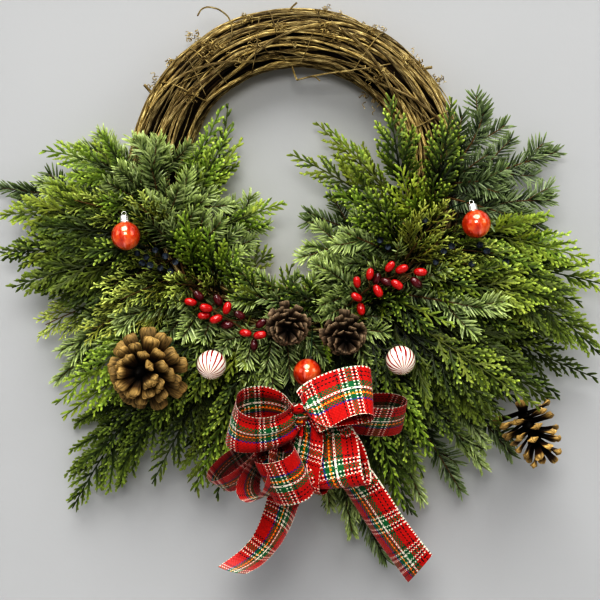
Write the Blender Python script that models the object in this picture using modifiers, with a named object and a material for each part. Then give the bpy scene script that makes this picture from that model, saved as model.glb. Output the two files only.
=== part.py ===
"""Grapevine wreath with evergreen sprays, cones, glass balls and a tartan bow.

Metres, +Z up. The wreath hangs flat on a wall, the plane Y = 0, and its front
faces -Y. The origin is the point that it hangs from, on the wall, under the
inner edge of the top of the vine ring.
"""
import math
import random

import bmesh
import bpy
from mathutils import Vector

# Driving dimensions of the vine ring
RING_RADIUS = 0.170        # mid line of the bundle of vines
BUNDLE_WIDE = 0.0335       # half the bundle, in the ring's plane
BUNDLE_DEEP = 0.0270       # half the bundle, from the wall to the front
RING_DEPTH = -0.030        # the mid line stands this far off the wall
STRANDS = 11               # vines seen round the bundle
STRAND_TURNS = 2           # turns that each vine makes on its way round the ring
STRAND_RELIEF = 0.19       # depth of the grooves, as a share of the bundle
RING_STEPS = 46
LOOSE_VINE = 0.0028        # radius of a vine that lies on the bundle

# Driving dimensions of what is tucked into it
GAP = 0.0004               # clearance between a stem and the vines
NEEDLE = 0.022
STEM_THICK = 0.0026
LEAF_THICK = 0.0009
RIB_HALF = 0.0012
LEAF_FILL = 0.72           # share of the pitch along the rib that a leaflet fills
ORANGE_BALL = 0.0163       # radii
STRIPED_BALL = 0.0168
CAP_RADIUS = 0.0045
CAP_HEIGHT = 0.0050
PICK_WIRE = 0.0009
RIBBON_WIDE = 0.038
RIBBON_THICK = 0.0009
PINCH = 0.22               # share of the ribbon's width where the knot gathers it
KNOT = Vector((0.007, -0.122, -0.410))
KNOT_DEEP = 0.011          # half the knot, from front to back

TOWARD_VIEWER = Vector((0, -1, 0))
UP = Vector((0, 0, 1))
GOLDEN_ANGLE = math.radians(137.5)

# Colours
VINE_BROWN = (0.26, 0.15, 0.06)
CEDAR_GREEN = (0.10, 0.20, 0.04)
CEDAR_LIGHT = (0.22, 0.34, 0.07)
FIR_GREEN = (0.04, 0.09, 0.06)
JUNIPER_GREEN = (0.12, 0.17, 0.04)
CONE_TAN = (0.33, 0.17, 0.07)
CONE_DARK = (0.13, 0.08, 0.05)
GLASS_ORANGE = (0.75, 0.16, 0.05)
BALL_WHITE = (0.85, 0.82, 0.76)
HIP_RED = (0.45, 0.02, 0.02)
RIBBON_RED = (0.60, 0.03, 0.03)
WIRE_GREEN = (0.05, 0.12, 0.05)
SILVER = (0.75, 0.74, 0.72)

for old in list(bpy.data.objects):
    bpy.data.objects.remove(old, do_unlink=True)

WREATH = bpy.data.collections.new("grapevine_wreath")
CUTTERS = bpy.data.collections.new("cutters")
bpy.context.scene.collection.children.link(WREATH)
bpy.context.scene.collection.children.link(CUTTERS)


def material(name, colour, roughness=0.6, metallic=0.0):
    """A plain Principled BSDF material."""
    made = bpy.data.materials.new(name)
    made.use_nodes = True
    shader = made.node_tree.nodes["Principled BSDF"]
    shader.inputs["Base Color"].default_value = (*colour, 1.0)
    shader.inputs["Roughness"].default_value = roughness
    shader.inputs["Metallic"].default_value = metallic
    return made


def mesh_object(name, mesh, collection=WREATH):
    """A new object for a mesh that is modelled in place."""
    made = bpy.data.objects.new(name, mesh)
    collection.objects.link(made)
    return made


def from_bmesh(name, built, collection=WREATH):
    mesh = bpy.data.meshes.new(name)
    built.to_mesh(mesh)
    built.free()
    return mesh_object(name, mesh, collection)


def bake(thing):
    """Replace an object's mesh by what its modifiers make of it."""
    graph = bpy.context.evaluated_depsgraph_get()
    finished = bpy.data.meshes.new_from_object(thing.evaluated_get(graph))
    thing.modifiers.clear()
    thing.data = finished
    return thing


def volume_of(faces):
    """The volume inside a closed set of triangles, below zero for a cavity."""
    return sum(face.verts[0].co.dot(face.verts[1].co.cross(face.verts[2].co)) for face in faces) / 6


def keep_main_body(thing):
    """Drop loose scraps, and fill the hollows that a Boolean sealed."""
    built = bmesh.new()
    built.from_mesh(thing.data)
    bmesh.ops.triangulate(built, faces=built.faces)
    unseen = set(built.faces)
    bodies = []
    while unseen:
        front = [unseen.pop()]
        body = list(front)
        while front:
            near = {other for edge in front.pop().edges for other in edge.link_faces if other in unseen}
            unseen -= near
            front.extend(near)
            body.extend(near)
        bodies.append(body)
    bodies.sort(key=volume_of)
    for scrap in bodies[:-1]:
        bmesh.ops.delete(built, geom=scrap, context="FACES")
    built.to_mesh(thing.data)
    built.free()
    return thing


def fuse(thing, parts):
    """Join closed parts to a thing, in one body, and drop the parts."""
    group = bpy.data.collections.new(thing.name + "_parts")
    bpy.context.scene.collection.children.link(group)
    for part in parts:
        for home in list(part.users_collection):
            home.objects.unlink(part)
        group.objects.link(part)
    union = thing.modifiers.new("join", "BOOLEAN")
    union.operation = "UNION"
    union.solver = "MANIFOLD"
    union.operand_type = "COLLECTION"
    union.collection = group
    bake(thing)
    for part in parts:
        bpy.data.objects.remove(part, do_unlink=True)
    bpy.data.collections.remove(group)
    return keep_main_body(thing)


def tube(name, points, radii, collection=WREATH, resolution=0):
    """A closed tube through points, from a bevelled curve, welded at its caps."""
    curve = bpy.data.curves.new(name, "CURVE")
    curve.dimensions = "3D"
    curve.bevel_depth = 1.0
    curve.bevel_resolution = resolution
    curve.use_fill_caps = True
    spline = curve.splines.new("POLY")
    spline.points.add(len(points) - 1)
    for spot, place, radius in zip(spline.points, points, radii):
        spot.co = (*place, 1.0)
        spot.radius = radius
    drawn = mesh_object(name + "_curve", curve, collection)
    graph = bpy.context.evaluated_depsgraph_get()
    mesh = bpy.data.meshes.new_from_object(drawn.evaluated_get(graph))
    bpy.data.objects.remove(drawn, do_unlink=True)
    welded = bmesh.new()
    welded.from_mesh(mesh)
    bmesh.ops.remove_doubles(welded, verts=welded.verts, dist=0.000001)
    bmesh.ops.recalc_face_normals(welded, faces=welded.faces)
    return from_bmesh(name, welded, collection)


def bezier(start, middle, end, share):
    """A point on the arc from start to end that is drawn toward middle."""
    return start.lerp(middle, share).lerp(middle.lerp(end, share), share)


def arc_points(start, middle, end, count):
    return [bezier(start, middle, end, step / (count - 1)) for step in range(count)]


# The ring of vines


def on_bundle(around, across, out=0.0, share=1.0):
    """A point of the bundle: around the ring and across the bundle, in degrees.

    Across is 0 at the outer edge, 90 at the front and 180 at the inner edge.
    """
    turn = math.radians(around)
    roll = math.radians(across)
    wide = (BUNDLE_WIDE * share + out) * math.cos(roll)
    deep = (BUNDLE_DEEP * share + out) * math.sin(roll)
    reach = RING_RADIUS + wide
    centre = -(RING_RADIUS - BUNDLE_WIDE)
    return Vector((reach * math.cos(turn), RING_DEPTH - deep, centre + reach * math.sin(turn)))


def in_bundle(around, front=0.0, inward=0.0):
    """A point inside the bundle where a stem ends."""
    place = on_bundle(around, 180, share=0.0)
    toward_centre = Vector((-math.cos(math.radians(around)), 0, -math.sin(math.radians(around))))
    return place + TOWARD_VIEWER * front + toward_centre * inward


def wrap(around_from, around_to, across_from, across_to, out, grow, steps=8):
    """A vine that lies over the bundle, with both ends tucked into it."""
    points = []
    for step in range(steps):
        share = step / (steps - 1)
        lift = out * min(1.0, 4 * share, 4 * (1 - share)) - 2.5 * LOOSE_VINE * (step in (0, steps - 1))
        around = around_from + (around_to - around_from) * share
        across = across_from + (across_to - across_from) * share
        points.append(on_bundle(around, across, out=lift))
    return tube("vine", points, [LOOSE_VINE + grow] * steps, CUTTERS)


def vine_ring(name, grow, collection):
    """The bundle: strands raised on a torus by a formula, and loose vines.

    Grow fattens it, for the shape that clears the stems out of its way.
    """
    bpy.ops.mesh.primitive_torus_add(
        major_radius=RING_RADIUS, minor_radius=BUNDLE_WIDE,
        major_segments=RING_STEPS, minor_segments=2 * STRANDS)
    ring = bpy.context.object
    for home in list(ring.users_collection):
        home.objects.unlink(ring)
    collection.objects.link(ring)
    ring.name = name
    for spot in ring.data.vertices:
        turn = math.atan2(spot.co.y, spot.co.x)
        roll = math.atan2(spot.co.z, math.hypot(spot.co.x, spot.co.y) - RING_RADIUS)
        strand = round(roll / math.tau * STRANDS * 2)
        groove = STRAND_RELIEF * (strand % 2)
        wobble = 0.035 * math.sin(2 * turn + strand) + 0.03 * math.sin(5 * turn + 2.3 * strand)
        share = 1 - groove + wobble * (1 - groove)
        across = math.degrees(roll + STRAND_TURNS * turn + 0.08 * math.sin(3 * turn))
        spot.co = on_bundle(math.degrees(turn), across, out=grow, share=share)
    made = bmesh.new()
    made.from_mesh(ring.data)
    bmesh.ops.triangulate(made, faces=made.faces)
    bmesh.ops.recalc_face_normals(made, faces=made.faces)
    made.to_mesh(ring.data)
    made.free()

    vines = [
        wrap(158, 103, 35, 150, 0.0025, grow),
        wrap(128, 62, 150, 40, 0.0020, grow),
        wrap(88, 30, 50, 140, 0.0025, grow),
        wrap(52, 8, 140, 45, 0.0020, grow, 8),
        wrap(131, 126, -20, 200, 0.0015, grow),
        wrap(58, 63, -20, 200, 0.0015, grow),
    ]
    tendril = [on_bundle(124, 60, -0.006), on_bundle(122, 45, 0.012), on_bundle(117, 20, 0.020),
               on_bundle(111, 15, 0.020), on_bundle(106, 40, 0.012), on_bundle(103, 60, -0.006)]
    bridge = [on_bundle(48, 110, -0.006), on_bundle(58, 150, 0.004), on_bundle(72, 172, 0.011),
              on_bundle(86, 175, 0.014), on_bundle(100, 172, 0.010), on_bundle(112, 160, -0.006)]
    left_stub = [on_bundle(151, 20, -0.010), on_bundle(149, 12, 0.014)]
    top_stub = [on_bundle(93, 30, -0.010), on_bundle(92, 22, 0.010)]
    right_stub = [on_bundle(41, 20, -0.010), on_bundle(39, 10, 0.012)]
    for path, radius in ((tendril, 0.0016), (bridge, 0.0026), (left_stub, 0.0030),
                         (top_stub, 0.0024), (right_stub, 0.0024)):
        vines.append(tube("vine", path, [radius + grow] * len(path), CUTTERS))
    return fuse(ring, vines)


# Sprays: a rib with leaflets or needles cut to it, then thickened


def spray(name, colour, root, tip, middle, leaves, hips=(), face=TOWARD_VIEWER, bare=0.30):
    """A closed spray from root to tip.

    Leaves gives the count of pairs, whether bare rib lies between them, and a
    rule for (length, angle, lift, drop) from the place, 0 to 1 along the leafy
    stretch, the side, -1 or 1, and the station on the rib.
    """
    count, gapped, rule = leaves
    built = bmesh.new()
    length = (tip - root).length

    def frame(share):
        ahead = bezier(root, middle, tip, min(1.0, share + 0.01))
        behind = bezier(root, middle, tip, max(0.0, share - 0.01))
        along = (ahead - behind).normalized()
        side = along.cross(face).normalized()
        return bezier(root, middle, tip, share), along, side, side.cross(along).normalized()

    stations = [0.0, bare * 0.5]
    leafy = []
    stretch = (0.985 - bare) / count
    for pair in range(count):
        low = bare + pair * stretch
        stations.append(low)
        leafy.append((len(stations) - 1, pair / (count - 1)))
        if gapped:
            stations.append(low + stretch * 0.30)
    stations += [bare + count * stretch, 1.0]

    edges = []
    for share in stations:
        spot, along, side, out = frame(share)
        half = RIB_HALF * (1.0 - 0.55 * share)
        edges.append((built.verts.new(spot - side * half), built.verts.new(spot + side * half)))
    ribs = [vert for pair in edges for vert in pair]
    for (left, right), (next_left, next_right) in zip(edges, edges[1:]):
        built.faces.new((left, right, next_right))
        built.faces.new((left, next_right, next_left))

    for station, place in leafy:
        spot, along, side, out = frame((stations[station] + stations[station + 1]) / 2)
        for hand, sign in ((0, -1), (1, 1)):
            size, angle, lift, drop = rule(place, sign, station)
            width = LEAF_FILL * stretch * length * math.sin(angle)
            low, high = edges[station][hand], edges[station + 1][hand]
            sideways = side * sign * math.cos(lift) + out * math.sin(lift)
            ray = along * math.cos(angle) + sideways * math.sin(angle)
            across = (along * math.sin(angle) - sideways * math.cos(angle))
            start = (low.co + high.co) / 2
            point = built.verts.new(start + ray * size + out * drop)
            if gapped:
                built.faces.new((low, high, point))
                continue
            near = built.verts.new(start + ray * size * 0.42 - across * width / 2 + out * drop * 0.3)
            far = built.verts.new(start + ray * size * 0.55 + across * width / 2 + out * drop * 0.4)
            built.faces.new((low, far, near))
            built.faces.new((low, high, far))
            built.faces.new((near, far, point))
    bmesh.ops.recalc_face_normals(built, faces=built.faces)
    built.verts.index_update()
    shares = {vert.index: 1.0 - 0.6 * stations[row // 2] for row, vert in enumerate(ribs)}
    made = from_bmesh(name, built)
    group = made.vertex_groups.new(name="rib")
    for index, weight in shares.items():
        group.add([index], weight, "REPLACE")
    thick = made.modifiers.new("thickness", "SOLIDIFY")
    thick.thickness = STEM_THICK
    thick.offset = 0.0
    thick.vertex_group = "rib"
    thick.thickness_vertex_group = LEAF_THICK / STEM_THICK
    bake(made)
    berries = []
    for share, side_reach, out_reach, radius in hips:
        spot, along, side, out = frame(share)
        grain = bmesh.new()
        bmesh.ops.create_uvsphere(grain, u_segments=6, v_segments=4, radius=radius)
        place = spot + side * side_reach + out * out_reach
        bmesh.ops.translate(grain, verts=grain.verts, vec=place)
        berries.append(from_bmesh("berry", grain, CUTTERS))
    if berries:
        fuse(made, berries)
    made.data.materials.clear()
    made.data.materials.append(material(name, colour, 0.55))
    return cut_clear(made)


def cut_clear(made):
    """Keep a stem out of the vines by the clearance."""
    cut = made.modifiers.new("clearance", "BOOLEAN")
    cut.operation = "DIFFERENCE"
    cut.solver = "MANIFOLD"
    cut.object = CLEARANCE
    return keep_main_body(bake(made))


def cedar_leaves(half, count, seed):
    """Flat fan: long leaflets from a wide base, shorter toward the tip."""
    draw = random.Random(seed)
    sizes = [draw.uniform(0.85, 1.1) for _ in range(4 * count + 12)]

    def rule(place, sign, station):
        size = half * (0.62 + 0.9 * place) if place < 0.3 else half * (1.16 - 0.84 * place)
        size *= sizes[station + (7 if sign > 0 else 0)]
        drop = 0.006 * math.sin(2.1 * station + sign)
        return size, math.radians(48 - 14 * place), 0.0, drop
    return count, False, rule


def fir_leaves(needle, count):
    """Needles on all sides, in pairs that stand up and down by turns."""
    lifts = (50, -28, 18, -55)

    def rule(place, sign, station):
        lift = math.radians(lifts[(station // 2 + (sign > 0)) % 4])
        size = needle * (1.0 - 0.25 * place)
        return size, math.radians(58 - 22 * place), lift, 0.0
    return count, True, rule


def evergreen(kind, name, root, tip, bend=(0, 0, 0), half=None, tilt=(0, 0, 0), bare=0.30,
              colour=None, count=None, berries=0):
    """A spray of one kind between its cut end in the bundle and its tip."""
    root = Vector(root)
    tip = Vector(tip)
    middle = (root + tip) / 2 + Vector(bend)
    face = (TOWARD_VIEWER + Vector(tilt)).normalized()
    seed = len(WREATH.objects)
    half = half or {"cedar": 0.052, "juniper": 0.042, "fir": NEEDLE}[kind]
    pairs = count or max(5, min(7, round((tip - root).length * (1 - bare) / 0.026)))
    if kind == "cedar":
        leaves = cedar_leaves(half, pairs, seed)
        colour = colour or CEDAR_GREEN
    elif kind == "juniper":
        leaves = cedar_leaves(half, pairs, seed)
        colour = colour or JUNIPER_GREEN
    else:
        leaves = fir_leaves(half, count or 9)
        colour = colour or FIR_GREEN
    grains = []
    for index in range(berries):
        share = bare + 0.12 + 0.12 * index
        grains.append((share, 0.0018 * (-1) ** index, 0.0030, 0.0040))
    return spray(name, colour, root, tip, middle, leaves, grains, face, bare)


# Cones, balls, hips and their wires


def pick(name, cap, points, colour, radius=PICK_WIRE):
    """The wire that holds a cone or a ball, from its seat into the bundle."""
    made = tube(name, points, [radius] * len(points))
    if cap is not None:
        fuse(made, [cap])
    made.data.materials.clear()
    made.data.materials.append(material(name, colour, 0.35, 0.9))
    return cut_clear(made)


def pine_cone(name, base, tip, reach, rows, colour, scale_wide, open_tip=0.55):
    """A cone from base to tip: a slim core and scales on a golden spiral."""
    axis = tip - base
    length = axis.length
    axis.normalize()
    side = axis.cross(UP if abs(axis.z) < 0.8 else TOWARD_VIEWER).normalized()
    other = axis.cross(side)
    core = bmesh.new()
    bmesh.ops.create_uvsphere(core, u_segments=8, v_segments=6, radius=1.0)
    turn = axis.to_track_quat("Z", "Y").to_matrix().to_4x4()
    bmesh.ops.scale(core, verts=core.verts, vec=(reach * 0.36, reach * 0.36, length * 0.5))
    bmesh.ops.transform(core, verts=core.verts, matrix=turn)
    bmesh.ops.translate(core, verts=core.verts, vec=base + axis * length * 0.5)
    made = from_bmesh(name, core)
    scales = []
    for row in range(rows):
        place = (row + 0.5) / rows
        spin = row * GOLDEN_ANGLE
        lean = math.radians(8 + 62 * place ** 1.5)
        radial = side * math.cos(spin) + other * math.sin(spin)
        ray = radial * math.cos(lean) + axis * math.sin(lean)
        start = base + axis * length * (0.10 + 0.72 * place)
        swell = 0.82 + 0.18 * math.sin(math.pi * min(1, place * 2.2))
        size = reach * (1.0 - (1 - open_tip) * place) * swell
        scale = bmesh.new()
        bmesh.ops.create_cone(
            scale, cap_ends=True, segments=4, depth=size, radius1=0.28 * scale_wide,
            radius2=0.62 * scale_wide)
        bmesh.ops.scale(scale, verts=scale.verts, vec=(1.0, 0.36, 1.0))
        bmesh.ops.translate(scale, verts=scale.verts, vec=(0, 0, size / 2))
        width = ray.cross(axis).normalized()
        thick = ray.cross(width)
        matrix = turn.copy()
        for line in range(3):
            matrix[line][0] = width[line]
            matrix[line][1] = thick[line]
            matrix[line][2] = ray[line]
            matrix[line][3] = start[line]
        bmesh.ops.transform(scale, verts=scale.verts, matrix=matrix)
        scales.append(from_bmesh("scale", scale, CUTTERS))
    fuse(made, scales)
    made.data.materials.clear()
    made.data.materials.append(material(name, colour, 0.75))
    return made


def glass_ball(name, centre, radius, colour, cap_way):
    """A glass ball, with the metal cap that sits on it given back for its wire."""
    ball = bmesh.new()
    bmesh.ops.create_uvsphere(ball, u_segments=11, v_segments=7, radius=radius)
    bmesh.ops.transform(ball, verts=ball.verts, matrix=cap_way.to_track_quat("Z", "Y").to_matrix().to_4x4())
    bmesh.ops.translate(ball, verts=ball.verts, vec=centre)
    made = from_bmesh(name, ball)
    made.data.shade_smooth()
    made.data.materials.append(material(name, colour, 0.15))
    cap = bmesh.new()
    bmesh.ops.create_cone(
        cap, cap_ends=True, segments=8, radius1=CAP_RADIUS, radius2=CAP_RADIUS, depth=CAP_HEIGHT)
    bmesh.ops.transform(cap, verts=cap.verts, matrix=cap_way.to_track_quat("Z", "Y").to_matrix().to_4x4())
    bmesh.ops.translate(cap, verts=cap.verts, vec=centre + cap_way * (radius + 0.0003 + CAP_HEIGHT / 2))
    return from_bmesh("cap", cap, CUTTERS)


def ornament(name, centre, radius, colour, cap_way, anchor, bend=(0, 0, 0)):
    """A ball, and its cap and wire pick into the bundle."""
    centre = Vector(centre)
    cap_way = Vector(cap_way).normalized()
    anchor = Vector(anchor)
    cap = glass_ball(name, centre, radius, colour, cap_way)
    seat = centre + cap_way * (radius + CAP_HEIGHT * 0.6)
    rise = centre + cap_way * (radius + CAP_HEIGHT + 0.006)
    middle = (rise + anchor) / 2 + Vector(bend)
    pick(name + "_pick", cap, [seat] + arc_points(rise, middle, anchor, 4), SILVER)


def hip_sprig(name, root, bend, tip, hips):
    """A dark red stem with side stalks, and a hip at the end of each."""
    root = Vector(root)
    tip = Vector(tip)
    middle = (root + tip) / 2 + Vector(bend)
    spine = arc_points(root, middle, tip, 6)
    made = tube(name, spine, [0.0013] * 6)
    parts = []
    for share, reach in hips:
        start = bezier(root, middle, tip, share)
        end = start + Vector(reach)
        parts.append(tube("stalk", [start, end], [0.0009, 0.0009], CUTTERS, 0))
        grain = bmesh.new()
        bmesh.ops.create_uvsphere(grain, u_segments=6, v_segments=4, radius=1.0)
        bmesh.ops.scale(grain, verts=grain.verts, vec=(0.0042, 0.0042, 0.0066))
        turn = Vector(reach).to_track_quat("Z", "Y").to_matrix().to_4x4()
        bmesh.ops.transform(grain, verts=grain.verts, matrix=turn)
        bmesh.ops.translate(grain, verts=grain.verts, vec=end)
        parts.append(from_bmesh("hip", grain, CUTTERS))
    fuse(made, parts)
    made.data.materials.clear()
    made.data.materials.append(material(name, HIP_RED, 0.3))
    return cut_clear(made)


# The bow


def ribbon_strip(name, points, width_way, pinch):
    """A ribbon along points, gathered to pinch of its width at its ends."""
    built = bmesh.new()
    rows = []
    last = len(points) - 1
    for index, place in enumerate(points):
        share = index / last
        gather = pinch(share)
        way = width_way(share)
        half = RIBBON_WIDE / 2 * gather
        rows.append((built.verts.new(place - way * half), built.verts.new(place + way * half)))
    for (left, right), (next_left, next_right) in zip(rows, rows[1:]):
        built.faces.new((left, right, next_right))
        built.faces.new((left, next_right, next_left))
    bmesh.ops.recalc_face_normals(built, faces=built.faces)
    made = from_bmesh(name, built, CUTTERS)
    thick = made.modifiers.new("thickness", "SOLIDIFY")
    thick.thickness = RIBBON_THICK
    thick.offset = 0.0
    return bake(made)


def bow_loop(end, opening, width_way, steps=9):
    """A loop from the knot out to end and back, opening metres wide."""
    end = Vector(end)
    way = Vector(width_way).normalized()
    reach = end - KNOT
    spread = reach.cross(way).normalized()
    points = []
    for step in range(steps + 1):
        turn = math.tau * step / steps
        out = (1 - math.cos(turn)) / 2
        rise = -math.sin(turn) * (0.35 + 0.65 * out) * opening / 2
        points.append(KNOT + reach * (0.04 + 0.96 * out) + spread * (rise + 0.002 * (0.5 - step / steps)))

    def gather(share):
        return PINCH + (1 - PINCH) * min(1.0, 3.2 * share, 3.2 * (1 - share))
    return ribbon_strip("loop", points, lambda share: way, gather)


def bow_tail(points, ways):
    """A tail from the knot down to its cut end."""
    ways = [Vector(way).normalized() for way in ways]

    def way(share):
        place = share * (len(ways) - 1)
        low = min(int(place), len(ways) - 2)
        return ways[low].lerp(ways[low + 1], place - low).normalized()
    return ribbon_strip("tail", points, way, lambda share: PINCH + (1 - PINCH) * min(1.0, 3.0 * share))


def bow():
    """Seven loops and two tails, one body where the knot gathers them."""
    knot = bmesh.new()
    bmesh.ops.create_uvsphere(knot, u_segments=8, v_segments=6, radius=1.0)
    bmesh.ops.scale(knot, verts=knot.verts, vec=(0.013, KNOT_DEEP, 0.016))
    bmesh.ops.translate(knot, verts=knot.verts, vec=KNOT)
    made = from_bmesh("ribbon_bow", knot)
    left_tail = arc_points(KNOT, Vector((-0.010, -0.100, -0.500)), Vector((-0.034, -0.104, -0.560)), 5)
    left_tail += arc_points(Vector((-0.034, -0.104, -0.560)), Vector((-0.055, -0.100, -0.592)),
                            Vector((-0.092, -0.108, -0.596)), 4)[1:]
    right_tail = arc_points(KNOT, Vector((0.050, -0.105, -0.470)), Vector((0.074, -0.108, -0.510)), 4)
    right_tail += arc_points(Vector((0.074, -0.108, -0.510)), Vector((0.105, -0.100, -0.550)),
                             Vector((0.142, -0.106, -0.592)), 5)[1:]
    parts = [
        bow_loop((-0.084, -0.138, -0.424), 0.050, (0.10, -0.80, 0.55)),
        bow_loop((0.088, -0.138, -0.390), 0.034, (-0.15, -0.55, 0.80)),
        bow_loop((0.122, -0.112, -0.418), 0.026, (-0.10, -0.25, 0.95)),
        bow_loop((0.048, -0.140, -0.490), 0.040, (0.92, -0.30, 0.42)),
        bow_loop((-0.100, -0.112, -0.486), 0.034, (-0.60, -0.50, 0.65)),
        bow_loop((-0.046, -0.116, -0.516), 0.030, (0.80, -0.50, -0.25)),
        bow_loop((-0.006, -0.126, -0.510), 0.030, (0.70, -0.70, 0.0)),
        bow_tail(left_tail, [(0.7, -0.7, 0.0), (0.9, -0.3, 0.3), (0.75, -0.35, 0.60), (0.20, -0.5, 0.85)]),
        bow_tail(right_tail, [(0.7, -0.7, 0.3), (0.8, -0.3, 0.6), (0.72, -0.2, 0.65), (0.72, -0.2, 0.68)]),
    ]
    fuse(made, parts)
    made.data.materials.clear()
    made.data.materials.append(material("ribbon_bow", RIBBON_RED, 0.6))
    return made


CLEARANCE = vine_ring("vine_clearance", GAP, CUTTERS)
CLEARANCE.hide_render = True
CLEARANCE.display_type = "WIRE"


def ring():
    made = vine_ring("grapevine_ring", 0.0, WREATH)
    made.data.materials.clear()
    made.data.materials.append(material("grapevine_ring", VINE_BROWN, 0.8))


def left_sprays():
    """Sprays that leave the left side of the ring, from the top down."""
    evergreen("fir", "fir_left_upper", in_bundle(184), (-0.273, -0.020, -0.099), (0.01, 0, 0.02))
    evergreen("cedar", "cedar_left_light", in_bundle(190, 0.018), (-0.296, -0.080, -0.112),
              (0.01, -0.012, 0.02), colour=CEDAR_LIGHT)
    evergreen("fir", "fir_left_long", in_bundle(199, -0.004), (-0.364, -0.020, -0.148), (0, 0, 0.01),
              count=11)
    evergreen("cedar", "cedar_left_upper", in_bundle(204, 0.020), (-0.343, -0.086, -0.188), (0, -0.02, 0.02))
    evergreen("cedar", "cedar_left_middle", in_bundle(209), (-0.356, -0.042, -0.232), (0, 0, 0.01))
    evergreen("cedar", "cedar_left_lower", in_bundle(216, 0.020), (-0.328, -0.090, -0.272), (0, -0.02, 0.02))
    evergreen("juniper", "juniper_left", in_bundle(222), (-0.306, -0.032, -0.316), (0, 0, 0.01), berries=3)
    evergreen("fir", "fir_left_low", in_bundle(229), (-0.294, -0.024, -0.384), (0, 0, 0.02), count=11)


def low_sprays():
    """Long sprays that hang from the bottom of the ring, from left to right."""
    evergreen("cedar", "cedar_low_left_light", in_bundle(236, 0.018), (-0.283, -0.072, -0.409),
              (0, -0.02, 0.02), colour=CEDAR_LIGHT, bare=0.35)
    evergreen("cedar", "cedar_low_left", in_bundle(240), (-0.275, -0.026, -0.541), (-0.02, 0, 0.01), 0.055,
              bare=0.40)
    evergreen("cedar", "cedar_low_inner", in_bundle(252), (-0.122, -0.050, -0.516), (-0.01, 0, 0), 0.050,
              bare=0.35)
    evergreen("fir", "fir_bottom", in_bundle(271), (0.108, -0.028, -0.602), (-0.02, 0, -0.02), bare=0.45)
    evergreen("cedar", "cedar_bottom_right", in_bundle(283, 0.018), (0.135, -0.072, -0.538), (0, -0.01, 0),
              bare=0.40)
    evergreen("fir", "fir_low_right", in_bundle(292), (0.200, -0.026, -0.519), (0, 0, 0), bare=0.35)
    evergreen("fir", "fir_low_far_right", in_bundle(301), (0.257, -0.050, -0.471), (0, 0, 0.01), bare=0.35)
    evergreen("cedar", "cedar_right_low", in_bundle(306, 0.018), (0.293, -0.084, -0.402), (0, -0.02, 0),
              bare=0.35)


def right_sprays():
    """Sprays that leave the right side of the ring, from the bottom up."""
    evergreen("cedar", "cedar_right_dark", in_bundle(313), (0.367, -0.028, -0.382), (0, 0, -0.01), bare=0.40)
    evergreen("cedar", "cedar_right_droop", in_bundle(320, 0.018), (0.353, -0.078, -0.350),
              (0.02, -0.02, 0.05), bare=0.40)
    evergreen("cedar", "cedar_right_middle", in_bundle(328), (0.375, -0.038, -0.268), (0, 0, 0.01), bare=0.35)
    evergreen("cedar", "cedar_right_upper", in_bundle(336, 0.018), (0.341, -0.086, -0.242), (0, -0.02, 0.02),
              colour=CEDAR_LIGHT, bare=0.35)
    evergreen("fir", "fir_right_middle", in_bundle(348, 0.012), (0.296, -0.074, -0.169), (0, -0.01, 0))
    evergreen("fir", "fir_right_upper", in_bundle(354), (0.319, -0.022, -0.104), (0, 0, 0))
    evergreen("fir", "fir_right_top", in_bundle(357, 0.016), (0.222, -0.060, -0.058), (0.02, -0.01, 0))


def inner_sprays():
    """Sprays that reach into the ring's hole, left ones first."""
    evergreen("cedar", "cedar_inside_left", in_bundle(203, 0, 0.020), (-0.084, -0.030, -0.046),
              (0.02, 0, -0.02), 0.030, bare=0.25)
    evergreen("cedar", "cedar_inside_left_light", in_bundle(212, 0.014, 0.020), (-0.014, -0.062, -0.171),
              (0.01, -0.01, 0.01), 0.028, colour=CEDAR_LIGHT)
    evergreen("fir", "fir_inside_left", in_bundle(217, -0.006, 0.020), (-0.055, -0.026, -0.179), (0.01, 0, 0),
              0.020, count=8)
    evergreen("cedar", "cedar_inside_low", in_bundle(243, 0, 0.020), (-0.032, -0.030, -0.227), (0, 0, 0.01),
              0.026)
    evergreen("cedar", "cedar_over_right", in_bundle(334, 0.018, 0.015), (0.107, -0.086, -0.050),
              (-0.01, -0.03, 0), 0.036, bare=0.35)
    evergreen("cedar", "cedar_over_right_outer", in_bundle(340, 0.020), (0.179, -0.088, -0.052),
              (0, -0.03, 0), 0.030, bare=0.35)
    evergreen("cedar", "cedar_inside_right", in_bundle(336, 0.006, 0.020), (-0.008, -0.056, -0.112),
              (0, -0.01, 0.01), 0.034, bare=0.35)
    evergreen("cedar", "cedar_inside_right_up", in_bundle(342, -0.010, 0.020), (0.023, -0.026, -0.068),
              (0, 0, 0), 0.030, bare=0.35)
    evergreen("fir", "fir_inside_right", in_bundle(324, -0.004, 0.020), (0.013, -0.030, -0.179), (0, 0, 0),
              0.020)


def front_sprays():
    """Short sprays that stand out over the front of the ring."""
    evergreen("fir", "fir_front_left", in_bundle(197, 0.020), (-0.179, -0.086, -0.100), (0.01, -0.03, 0),
              0.020, count=8, bare=0.40)
    evergreen("cedar", "cedar_front_low_left", in_bundle(246, 0.022), (-0.170, -0.086, -0.436), (0, -0.03, 0),
              0.036, bare=0.35)
    evergreen("juniper", "juniper_front_right", in_bundle(312, 0.022), (0.172, -0.100, -0.180),
              (-0.01, -0.03, 0), 0.026, bare=0.40, berries=3)
    evergreen("cedar", "cedar_front_low_right", in_bundle(300, 0.022), (0.235, -0.088, -0.436), (0, -0.03, 0),
              0.040, bare=0.35)
    evergreen("cedar", "cedar_front_right", in_bundle(318, 0.024), (0.302, -0.094, -0.286), (0, -0.03, 0),
              0.036, bare=0.40)


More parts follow.
